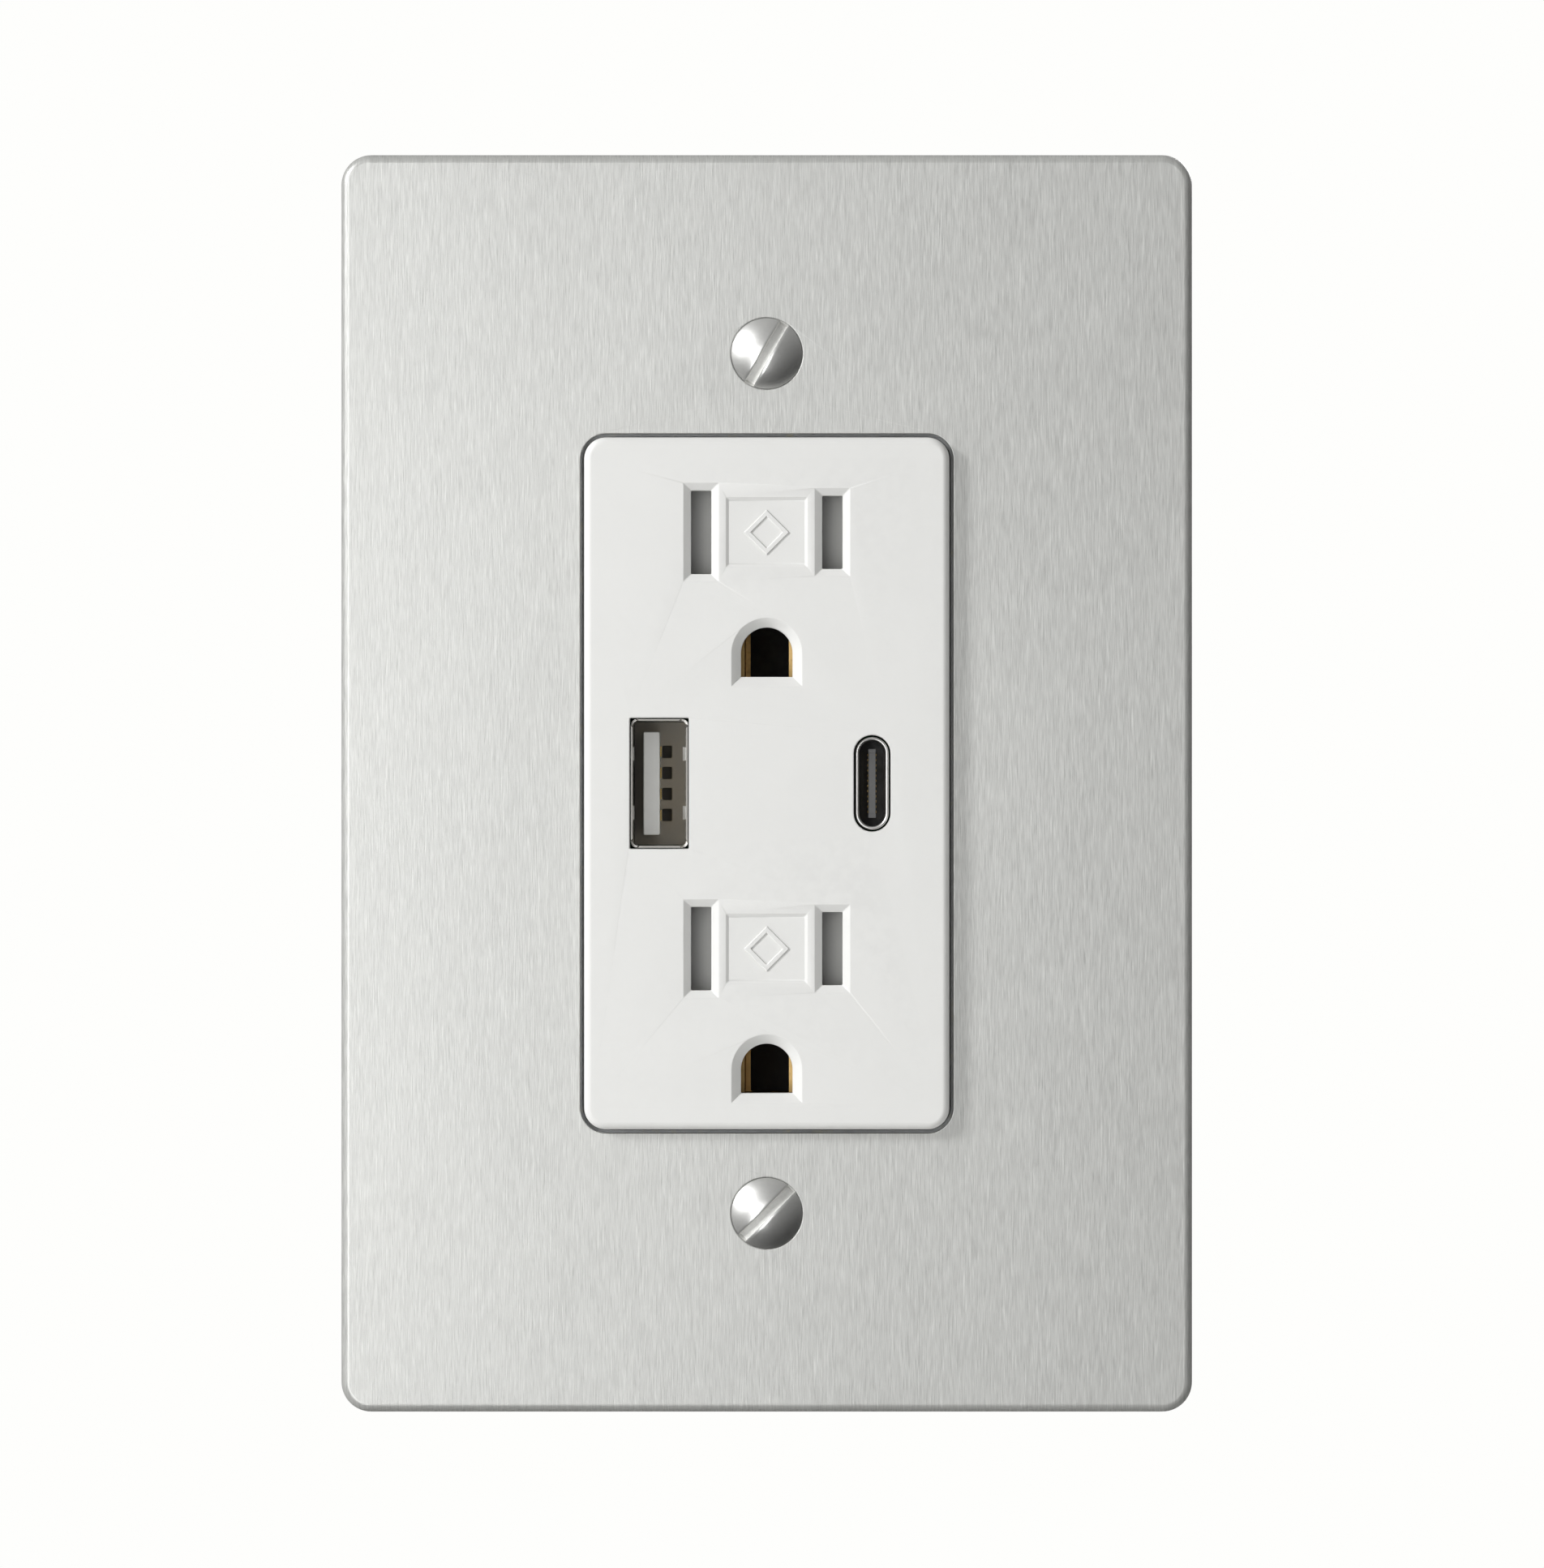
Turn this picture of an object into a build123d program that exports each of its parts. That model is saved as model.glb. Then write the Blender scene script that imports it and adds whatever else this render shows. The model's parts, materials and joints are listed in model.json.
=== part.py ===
from build123d import *
import os
from math import radians, sqrt, tan

# A single-gang stainless wall plate with its two captive screws, and the tamper-resistant
# duplex receptacle with two USB ports that fills its opening.
# Millimetres. +X is to the right seen from the room, +Y goes into the wall, +Z is up.
# The wall's surface is the plane y = 0, and the origin is midway between the two screws.

# ---- wall plate ----
PLATE_W = 82.5
PLATE_DEPTH = 5.5
SHEET_T = 0.9
PLATE_CORNER_R = 2.9
PLATE_EDGE_R = 0.8
FACE_GAP = 0.4

# ---- cover screws, No. 6-32 oval head, slotted ----
SCREW_SPACING = 83.34
PLATE_ABOVE_SCREW = 19.28
SCREW_HEAD_R = 3.43
SCREW_DOME_H = 1.25
SCREW_CONE_ANGLE = 82.0
SCREW_NECK_R = 1.35
SCREW_THREAD_R = 1.7525
SCREW_REACH = 19.5
SCREW_TIP_CHAMFER = 0.6
DRIVE_SLOT_W = 0.92
DRIVE_SLOT_DEPTH = 1.3
TOP_DRIVE_TURN = 60.0
BOTTOM_DRIVE_TURN = 45.0
HEAD_SEAT_GAP = 0.06
PLATE_HOLE_R = 1.95

# ---- retaining washers that keep the screws on the plate ----
WASHER_R = 2.9
WASHER_T = 0.4
WASHER_BORE_GAP = 0.08
WASHER_STRAP_GAP = 0.15

# ---- receptacle face ----
FACE_W = 35.35
FACE_H = 67.0
FACE_CORNER_R = 2.1
FACE_EDGE_R = 0.7
FACE_PROUD = 1.8
FACE_FRONT_T = 2.4
FACE_SIDE_T = 1.6
FLANGE_T = 3.0

# ---- outlets (blade spacing, slot sizes and ground pin of a 15 A, 125 V outlet) ----
OUTLET_LINES = {"upper": 24.3, "lower": -16.0}
BLADE_SPACING = 12.7
BLADE_SLOT_W = 1.98
NEUTRAL_SLOT_H = 8.1
HOT_SLOT_H = 7.1
SLOT_BEVEL = 0.7
SLOT_BEVEL_DEPTH = 0.45
GROUND_DROP = 11.7
GROUND_HOLE_R = 2.5
GROUND_HOLE_FLAT = 2.3
GROUND_BEVEL = 0.9
GROUND_BEVEL_DEPTH = 0.7
PANEL_W = 7.9
PANEL_H = 6.8
PANEL_DEPTH = 0.18
PANEL_BEVEL = 0.3
MARK_R = 2.2
MARK_LINE = 0.5
MARK_H = 0.15

# ---- mounting strap ----
STRAP_T = 1.2
STRAP_SIDE_OVERLAP = 0.5
STRAP_END_OVERLAP = 3.5
STRAP_ABOVE_SCREW = 11.53
STRAP_CORNER_R = 2.5
EAR_W = 33.0
EAR_HOLE_R = 1.6
EAR_HOLE_X = 11.5
EAR_HOLE_ABOVE_SCREW = 6.33
STRAP_GAP = 0.25
STRAP_SLOT_W = 4.0
STRAP_SLOT_L = 6.5

# ---- rear body ----
BODY_SIDE_MARGIN = 3.825
BODY_END_MARGIN = 2.0
BODY_CORNER_R = 2.0
BODY_STEP_Y = 17.0
TAIL_SIDE_STEP = 5.0
TAIL_END_STEP = 2.5
TAIL_CORNER_R = 2.5
TAIL_EDGE_R = 1.2
BODY_DEPTH = 38.0
BODY_WALL = 1.8
RIM_WALL = 1.0
FIT_GAP = 0.1
POST_SIDE = 3.0
BACK_PANEL_W = 21.0
BACK_PANEL_H = 34.0
BACK_PANEL_Z = 8.0
BACK_PANEL_DEPTH = 0.4
STRIP_GAUGE_L = 13.0
STRIP_GAUGE_W = 2.2
STRIP_GAUGE_Z = -21.0
STRIP_GAUGE_DEPTH = 0.7
SIDE_GROOVE_LINES = (-25.0, -18.75, -12.5, -6.25, 0.0, 6.25, 12.5, 18.75, 25.0)
SIDE_GROOVE_W = 1.2
SIDE_GROOVE_DEPTH = 0.4
SIDE_GROOVE_START = 4.0
SIDE_GROOVE_END = 3.0

# ---- terminals ----
TERMINAL_LINES = {"upper": 12.0, "lower": -12.0}
GROUND_TERMINAL_RISE = 5.1
TERMINAL_Y = 9.3
TERMINAL_PLATE_INSET = 0.9
TERMINAL_PLATE_T = 1.2
TERMINAL_PLATE_SIDE = 9.0
POCKET_SIDE = 10.0
CLAMP_T = 1.0
CLAMP_LIP = 0.6
CLAMP_GAP = 0.15
TERMINAL_SCREW_R = 2.083
TERMINAL_HEAD_R = 3.7
TERMINAL_HEAD_T = 2.2
TERMINAL_SHANK_PAST_BUS = 0.1
TERMINAL_SLOT_DEPTH = 1.2
TERMINAL_SHANK_ROOM = 0.25
TERMINAL_RUN_GAP = 0.05
WIRE_HOLE_R = 1.2
WIRE_OFFSET = 3.5
WIRE_R = 1.03

# ---- contacts ----
BUS_WALL_GAP = 0.3
BUS_T = 1.0
BUS_FRONT_Y = 11.8
BUS_BACK_Y = 13.8
LEAF_T = 0.7
LEAF_FRONT_Y = 0.3
LEAF_H = 7.6
BLADE_GAP = 1.6
BUS_TAB_H = 4.0
GROUND_LEAF_GAP = 4.3
GROUND_LEAF_T = 0.6
GROUND_WINDOW_LEFT = 1.6
GROUND_WINDOW_H = 5.4
GROUND_STRIP_W = 6.0
GROUND_STRIP_T = 0.6
GROUND_STRIP_Y = 12.0
GROUND_FOOT_DROP = 2.6
FOOT_T = 0.8
FOOT_BODY_GAP = 0.2
RIVET_R = 0.6
RIVET_HEAD_R = 0.85
RIVET_HEAD_T = 0.4
GROUND_PLATE_RIVET_INSET = 3.6
BRIDGE_H = 6.0
BRIDGE_GAP = 0.3

# ---- shutters ----
SHUTTER_TRAVEL = 2.7
SHUTTER_PAST_NEUTRAL = 4.85
SHUTTER_PAST_HOT = 2.65
SHUTTER_H = 10.4
SHUTTER_BASE_T = 0.9
SHUTTER_WINDOW_W = 2.4
SHUTTER_WINDOW_H = 8.6
SHUTTER_SIDE_GAP = 0.15
SHUTTER_FRONT_GAP = 0.25
PAD_LEFT = 1.4
PAD_RIGHT = 1.9
PAD_H = 9.2
TRAY_FLOOR_Y = -1.9
TRAY_FLOOR_T = 1.2
TRAY_WALL = 0.8
TRAY_LEFT_GAP = 0.3
SPRING_ROOM = 5.2
SPRING_R = 1.0
SPRING_WIRE_R = 0.15
SPRING_TURNS = 6

# ---- USB ports ----
USB_A_X = -10.4
USB_A_W = 5.55
USB_A_H = 12.5
USB_A_WALL = 0.2
USB_A_CORNER_R = 0.5
USB_A_NOTCH = 0.55
USB_A_NOTCH_DEPTH = 0.8
USB_PORT_CORNER_R = 0.12
USB_TONGUE_BACK = 1.55
USB_TONGUE_T = 1.55
USB_A_POCKET_W = 0.94
USB_A_POCKET_H = 1.2
USB_A_POCKET_START = 0.16
USB_A_POCKET_DEPTH = 1.5
USB_TONGUE_H = 10.0
USB_TONGUE_RECESS = 2.2
USB_A_PITCH = (-3.1, -1.03, 1.03, 3.1)
USB_A_CONTACT_W = 1.0
USB_A_CONTACT_T = 0.25
USB_A_CONTACT_SET_BACK = 1.0
USB_C_X = 10.2
USB_C_INNER_W = 2.56
USB_C_INNER_H = 8.34
USB_C_WALL = 0.32
USB_C_TONGUE_T = 0.7
USB_C_TONGUE_H = 6.69
USB_C_TONGUE_RECESS = 1.6
USB_C_PITCH = 0.5
USB_C_CONTACTS = 12
USB_C_CONTACT_W = 0.26
USB_C_CONTACT_T = 0.08
USB_C_CONTACT_SET_BACK = 0.4
USB_C_ROOM = 6.6
USB_BASE_T = 2.5
PORT_GAP = 0.08
USB_C_GAP = 0.14
PORT_SET_BACK = 0.35
USB_BOARD_Y = 7.0
USB_BOARD_T = 1.2
USB_BOARD_SIDE_GAP = 0.5
USB_BOARD_H = 17.6

# ---- power supply inside the rear body ----
POWER_BOARD_Y = 20.0
POWER_BOARD_T = 1.6
POWER_BOARD_GAP = 0.5
BARRIER_T = 1.0
BARRIER_WINDOW = 1.5
HEADER_X = 5.5
HEADER_PITCH = 2.54
HEADER_PINS = 4
HEADER_PIN_R = 0.32
HEADER_PIN_PROUD = 0.8
HEADER_BLOCK_T = 2.5
PIN_HOLE_GAP = 0.08
CORE_W = 16.0
CORE_H = 14.0
CORE_D = 5.0
CORE_WINDOW_W = 3.2
CORE_WINDOW_H = 9.0
CORE_LEG_W = 4.4
CORE_X = -3.0
CORE_Z = 3.0
WINDING_RISE = 3.0
WINDING_GAP = 0.15
INPUT_CAN_PLACES = ((-8.5, 23.5), (-8.5, 15.0))
INPUT_CAN_R = 3.9
INPUT_CAN_H = 12.5
OUTPUT_CAN_PLACES = ((-9.0, -14.0), (-9.0, -21.5))
OUTPUT_CAN_R = 3.15
OUTPUT_CAN_H = 9.0
CHOKE_PLACE = (8.0, 22.0)
CHOKE_R = 4.2
CHOKE_H = 8.0
FUSE_PLACE = (0.5, 26.5)
FUSE_R = 2.4
FUSE_H = 7.0
SAFETY_DISC_X = 3.0
SAFETY_DISC_Z = -9.5
SAFETY_DISC_R = 3.6
SAFETY_DISC_T = 2.6
SAFETY_DISC_LIFT = 0.7
CHIP_PLACES = ((6.0, -16.0, 5.0, 6.2), (4.5, -24.5, 4.0, 5.0))
CHIP_T = 1.6

# ---- screws that hold the face to the rear body ----
ASSEMBLY_INSET = 3.3
ASSEMBLY_BELOW_TOP = 4.5
ASSEMBLY_ABOVE_FOOT = 14.5
ASSEMBLY_R = 1.0
ASSEMBLY_HEAD_R = 1.9
ASSEMBLY_HEAD_T = 1.5
ASSEMBLY_GAP = 0.1

# ---- places that follow from the sizes above ----
PLATE_H = SCREW_SPACING + 2 * PLATE_ABOVE_SCREW
PLATE_FRONT = -PLATE_DEPTH
BODY_W = FACE_W + 2 * BODY_SIDE_MARGIN
BODY_H = FACE_H + 2 * BODY_END_MARGIN
TAIL_W = BODY_W - 2 * TAIL_SIDE_STEP
TAIL_H = BODY_H - 2 * TAIL_END_STEP
STRAP_W = BODY_W + 2 * STRAP_SIDE_OVERLAP
STRAP_FRAME_H = BODY_H + 2 * STRAP_END_OVERLAP
STRAP_H = SCREW_SPACING + 2 * STRAP_ABOVE_SCREW
EAR_HOLE_Z = SCREW_SPACING / 2 + EAR_HOLE_ABOVE_SCREW
FACE_FRONT = PLATE_FRONT - FACE_PROUD
FACE_INSIDE = FACE_FRONT + FACE_FRONT_T
OPENING_W = FACE_W + 2 * FACE_GAP
OPENING_H = FACE_H + 2 * FACE_GAP
OPENING_R = FACE_CORNER_R + FACE_GAP
BLADE_X = BLADE_SPACING / 2
CAVITY_W = TAIL_W - 2 * BODY_WALL
CAVITY_H = TAIL_H - 2 * BODY_WALL
TERMINAL_PLATE_X = TAIL_W / 2 - TERMINAL_PLATE_INSET
BUS_X = CAVITY_W / 2 - BUS_WALL_GAP - BUS_T
TERMINAL_SHANK_END = BUS_X - TERMINAL_SHANK_PAST_BUS
GROUND_TERMINAL_Z = GROUND_TERMINAL_RISE - BODY_H / 2
GROUND_FOOT_Z = -BODY_H / 2 - GROUND_FOOT_DROP
USB_BOARD_W = CAVITY_W - 2 * USB_BOARD_SIDE_GAP
ASSEMBLY_X = BODY_W / 2 - ASSEMBLY_INSET
ASSEMBLY_LINES = (BODY_H / 2 - ASSEMBLY_BELOW_TOP, ASSEMBLY_ABOVE_FOOT - BODY_H / 2)
SHUTTER_LEFT = -BLADE_X - SHUTTER_PAST_NEUTRAL
SHUTTER_RIGHT = BLADE_X + SHUTTER_PAST_HOT
CAVITY_FRONT = FLANGE_T + FIT_GAP
CAVITY_BACK = BODY_DEPTH - BODY_WALL
POCKET_BACK = TERMINAL_Y + POCKET_SIDE / 2 + CLAMP_T
CLAMP_X = TERMINAL_PLATE_X + TERMINAL_PLATE_T + CLAMP_GAP
PORT_FRONT = FACE_FRONT + PORT_SET_BACK
BARRIER_Y = BUS_BACK_Y + FIT_GAP
BOARD_BACK = POWER_BOARD_Y + POWER_BOARD_T
TERMINAL_OUTER_X = CLAMP_X + CLAMP_T + TERMINAL_RUN_GAP
FOOT_TOP_Z = -BODY_H / 2 - FOOT_BODY_GAP
RIVET_Z = (GROUND_FOOT_Z + FOOT_TOP_Z - GROUND_STRIP_T) / 2
GROUND_PLATE_RIVET = (GROUND_PLATE_RIVET_INSET - TERMINAL_PLATE_X, RIVET_Z)
GROUND_STRIP_RIVET = (0, RIVET_Z)

os.makedirs("parts", exist_ok=True)


def save(piece, node):
    """Name a finished piece and write its STEP."""
    piece.part.label = node
    export_step(piece.part, f"parts/{node}.step")


def at(y):
    """The upright plane at depth y: sketch x is +X, sketch y is +Z, and it extrudes to the front."""
    return Plane.XZ.offset(-y)


def block(x, y, z, mode=Mode.ADD):
    """Add or cut a box given by its ranges along X, Y and Z."""
    centre = [(span[0] + span[1]) / 2 for span in (x, y, z)]
    with Locations(tuple(centre)):
        Box(x[1] - x[0], y[1] - y[0], z[1] - z[0], mode=mode)


def rod(x, z, r, front, back, mode=Mode.ADD):
    """Add or cut a cylinder along Y."""
    with BuildSketch(at(back)) as disc:
        with Locations((x, z)):
            Circle(r)
    extrude(disc.sketch, amount=back - front, mode=mode)


def side_rod(y, z, r, x_range, mode=Mode.ADD):
    """Add or cut a cylinder along X."""
    with BuildSketch(Plane.YZ.offset(x_range[0])) as disc:
        with Locations((y, z)):
            Circle(r)
    extrude(disc.sketch, amount=x_range[1] - x_range[0], mode=mode)


def tapered_cut(outline, bevel, front, depth):
    """Cut the mitred lead-in of a hole: outline(grow) draws the hole's outline grown by a margin."""
    with BuildSketch(at(front)) as mouth:
        outline(bevel)
    with BuildSketch(at(front + depth)) as throat:
        outline(0)
    loft([mouth.sketch, throat.sketch], ruled=True, mode=Mode.SUBTRACT)


def through_cut(outline, front, back):
    """Cut the straight part of a hole."""
    with BuildSketch(at(back)) as hole:
        outline(0)
    extrude(hole.sketch, amount=back - front, mode=Mode.SUBTRACT)


def cone(z, front, front_r, back, back_r, mode=Mode.ADD):
    """Add or cut a cone frustum whose axis lies along Y at height z."""
    with BuildSketch(at(front)) as front_disc:
        with Locations((0, z)):
            Circle(front_r)
    with BuildSketch(at(back)) as back_disc:
        with Locations((0, z)):
            Circle(back_r)
    loft([front_disc.sketch, back_disc.sketch], ruled=True, mode=mode)


# ======== wall plate and its screws ========

SEAT_SLOPE = tan(radians(SCREW_CONE_ANGLE / 2))
SEAT_R = SCREW_HEAD_R + HEAD_SEAT_GAP
SEAT_DEPTH = (SEAT_R - PLATE_HOLE_R) / SEAT_SLOPE


def screw_seat(z):
    """The dimple pressed into the sheet round a screw: a cone inside a cone."""
    back = PLATE_FRONT + SEAT_DEPTH
    cone(z, PLATE_FRONT + SHEET_T / 2, SEAT_R + SHEET_T, back, PLATE_HOLE_R + SHEET_T)
    cone(z, PLATE_FRONT, SEAT_R, back, PLATE_HOLE_R, Mode.SUBTRACT)


with BuildPart() as wall_plate:
    with BuildSketch(at(0)):
        RectangleRounded(PLATE_W, PLATE_H, PLATE_CORNER_R)
    extrude(amount=PLATE_DEPTH)
    fillet(wall_plate.faces().sort_by(Axis.Y)[0].edges(), PLATE_EDGE_R)
    with BuildSketch(at(0)):
        RectangleRounded(PLATE_W - 2 * SHEET_T, PLATE_H - 2 * SHEET_T, PLATE_CORNER_R - SHEET_T)
    extrude(amount=PLATE_DEPTH - SHEET_T, mode=Mode.SUBTRACT)
    for seat_z in (SCREW_SPACING / 2, -SCREW_SPACING / 2):
        screw_seat(seat_z)
    with BuildSketch(at(0)):
        RectangleRounded(OPENING_W, OPENING_H, OPENING_R)
    extrude(amount=PLATE_DEPTH, mode=Mode.SUBTRACT)
save(wall_plate, "wall_plate")


def cover_screw(node, z, drive_turn):
    """Oval head, plain neck where the washer sits, thread behind the wall's surface."""
    dome_r = (SCREW_HEAD_R ** 2 + SCREW_DOME_H ** 2) / (2 * SCREW_DOME_H)
    dome_top = PLATE_FRONT - SCREW_DOME_H
    cone_end = PLATE_FRONT + (SCREW_HEAD_R - SCREW_NECK_R) / SEAT_SLOPE
    half_way = SCREW_HEAD_R / 2
    half_drop = dome_r - sqrt(dome_r ** 2 - half_way ** 2)
    slot_floor = dome_top + DRIVE_SLOT_DEPTH
    with BuildPart() as screw:
        with BuildSketch(Plane.YZ):
            with BuildLine():
                ThreePointArc((dome_top, z), (dome_top + half_drop, z + half_way),
                              (PLATE_FRONT, z + SCREW_HEAD_R))
                Polyline((PLATE_FRONT, z + SCREW_HEAD_R), (cone_end, z + SCREW_NECK_R),
                         (0, z + SCREW_NECK_R), (0, z + SCREW_THREAD_R),
                         (SCREW_REACH - SCREW_TIP_CHAMFER, z + SCREW_THREAD_R),
                         (SCREW_REACH, z + SCREW_THREAD_R - SCREW_TIP_CHAMFER),
                         (SCREW_REACH, z), (dome_top, z))
            make_face()
        revolve(axis=Axis((0, 0, z), (0, 1, 0)))
        with BuildSketch(at(slot_floor)):
            with Locations((0, z)):
                Rectangle(3 * SCREW_HEAD_R, DRIVE_SLOT_W, rotation=drive_turn)
        extrude(amount=2 * DRIVE_SLOT_DEPTH, mode=Mode.SUBTRACT)
    save(screw, node)


def retaining_washer(node, z):
    """Nylon washer on the screw's neck, in front of the strap."""
    back = -STRAP_T - WASHER_STRAP_GAP
    with BuildPart() as washer:
        rod(0, z, WASHER_R, back - WASHER_T, back)
        rod(0, z, SCREW_NECK_R + WASHER_BORE_GAP, back - WASHER_T, back, Mode.SUBTRACT)
    save(washer, node)


cover_screw("top_cover_screw", SCREW_SPACING / 2, TOP_DRIVE_TURN)
cover_screw("bottom_cover_screw", -SCREW_SPACING / 2, BOTTOM_DRIVE_TURN)
retaining_washer("top_retaining_washer", SCREW_SPACING / 2)
retaining_washer("bottom_retaining_washer", -SCREW_SPACING / 2)

# ======== receptacle face ========

FLANGE_W = BODY_W - 2 * RIM_WALL - 2 * FIT_GAP
FLANGE_H = BODY_H - 2 * RIM_WALL - 2 * FIT_GAP


def blade_slot(x, z, height):
    """One blade slot with its mitred recess."""
    def outline(grow):
        with Locations((x, z)):
            Rectangle(BLADE_SLOT_W + 2 * grow, height + 2 * grow)
    tapered_cut(outline, SLOT_BEVEL, FACE_FRONT, SLOT_BEVEL_DEPTH)
    through_cut(outline, FACE_FRONT, FACE_INSIDE)


def ground_hole(z):
    """Round-topped, flat-bottomed hole for the ground pin, with its bevel."""
    def outline(grow):
        r = GROUND_HOLE_R + grow
        foot = z - GROUND_HOLE_FLAT - grow
        with BuildLine() as edge:
            Polyline((-r, z), (-r, foot), (r, foot), (r, z))
            ThreePointArc((r, z), (0, z + r), (-r, z))
        make_face(edge.edges())
    tapered_cut(outline, GROUND_BEVEL, FACE_FRONT, GROUND_BEVEL_DEPTH)
    through_cut(outline, FACE_FRONT, FACE_INSIDE)


def marked_panel(z):
    """Shallow panel between the blade slots, with a plain raised rhombus ring."""
    def outline(grow):
        with Locations((0, z)):
            Rectangle(PANEL_W + 2 * grow - 2 * PANEL_BEVEL, PANEL_H + 2 * grow - 2 * PANEL_BEVEL)
    tapered_cut(outline, PANEL_BEVEL, FACE_FRONT, PANEL_DEPTH)
    with BuildSketch(at(FACE_FRONT + PANEL_DEPTH)) as mark:
        with Locations((0, z)):
            RegularPolygon(MARK_R, 4)
            RegularPolygon(MARK_R - MARK_LINE * sqrt(2), 4, mode=Mode.SUBTRACT)
    extrude(mark.sketch, amount=MARK_H)


def port_openings():
    """Openings round the two USB shells, each with its gap."""
    with Locations((USB_A_X, 0)):
        RectangleRounded(USB_A_W + 2 * PORT_GAP, USB_A_H + 2 * PORT_GAP, USB_PORT_CORNER_R)
    with Locations((USB_C_X, 0)):
        SlotOverall(USB_C_INNER_H + 2 * USB_C_WALL + 2 * USB_C_GAP,
                    USB_C_INNER_W + 2 * USB_C_WALL + 2 * USB_C_GAP, rotation=90)


with BuildPart() as receptacle_face:
    with BuildSketch(at(FLANGE_T)):
        RectangleRounded(FACE_W, FACE_H, FACE_CORNER_R)
    extrude(amount=FLANGE_T - FACE_FRONT)
    fillet(receptacle_face.faces().sort_by(Axis.Y)[0].edges(), FACE_EDGE_R)
    with BuildSketch(at(FLANGE_T)):
        RectangleRounded(FLANGE_W, FLANGE_H, BODY_CORNER_R - RIM_WALL)
    extrude(amount=FLANGE_T)
    with BuildSketch(at(FLANGE_T)):
        RectangleRounded(FACE_W - 2 * FACE_SIDE_T, FACE_H - 2 * FACE_SIDE_T,
                         FACE_CORNER_R - FACE_SIDE_T)
    extrude(amount=FLANGE_T - FACE_INSIDE, mode=Mode.SUBTRACT)
    for line_z in OUTLET_LINES.values():
        blade_slot(-BLADE_X, line_z, NEUTRAL_SLOT_H)
        blade_slot(BLADE_X, line_z, HOT_SLOT_H)
        ground_hole(line_z - GROUND_DROP)
        marked_panel(line_z)
    with BuildSketch(at(FACE_INSIDE)):
        port_openings()
    extrude(amount=FACE_FRONT_T, mode=Mode.SUBTRACT)
    for hole_z in ASSEMBLY_LINES:
        for hole_x in (-ASSEMBLY_X, ASSEMBLY_X):
            rod(hole_x, hole_z, ASSEMBLY_R + ASSEMBLY_GAP / 4, 0, FLANGE_T, Mode.SUBTRACT)
save(receptacle_face, "receptacle_face")

# ======== mounting strap ========

with BuildPart() as mounting_strap:
    with BuildSketch(at(0)):
        RectangleRounded(STRAP_W, STRAP_FRAME_H, STRAP_CORNER_R)
        RectangleRounded(EAR_W, STRAP_H, STRAP_CORNER_R)
        RectangleRounded(FACE_W + 2 * STRAP_GAP, FACE_H + 2 * STRAP_GAP,
                         FACE_CORNER_R + STRAP_GAP, mode=Mode.SUBTRACT)
        with Locations((0, SCREW_SPACING / 2), (0, -SCREW_SPACING / 2)):
            SlotOverall(STRAP_SLOT_L, STRAP_SLOT_W, mode=Mode.SUBTRACT)
        with GridLocations(2 * EAR_HOLE_X, 2 * EAR_HOLE_Z, 2, 2):
            Circle(EAR_HOLE_R, mode=Mode.SUBTRACT)
        with Locations(GROUND_PLATE_RIVET, GROUND_STRIP_RIVET):
            Circle(RIVET_R, mode=Mode.SUBTRACT)
    extrude(amount=STRAP_T)
save(mounting_strap, "mounting_strap")

# ======== rear body ========


def terminal_pocket(side, z):
    """Open pocket in the body's side for a terminal, its wire holes and its way in for the bus."""
    span = sorted((side * TERMINAL_PLATE_X, side * BODY_W))
    half = POCKET_SIDE / 2
    block(span, (CAVITY_FRONT, POCKET_BACK), (z - half, z + half), Mode.SUBTRACT)
    wire_x = side * (TERMINAL_PLATE_X + TERMINAL_PLATE_T + WIRE_R)
    for wire_z in (z - WIRE_OFFSET, z + WIRE_OFFSET):
        rod(wire_x, wire_z, WIRE_HOLE_R, POCKET_BACK, BODY_STEP_Y, Mode.SUBTRACT)
    side_rod(TERMINAL_Y, z, TERMINAL_SCREW_R + TERMINAL_SHANK_ROOM,
             sorted((side * (TERMINAL_SHANK_END - TERMINAL_SHANK_ROOM), side * TERMINAL_PLATE_X)),
             Mode.SUBTRACT)


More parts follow.
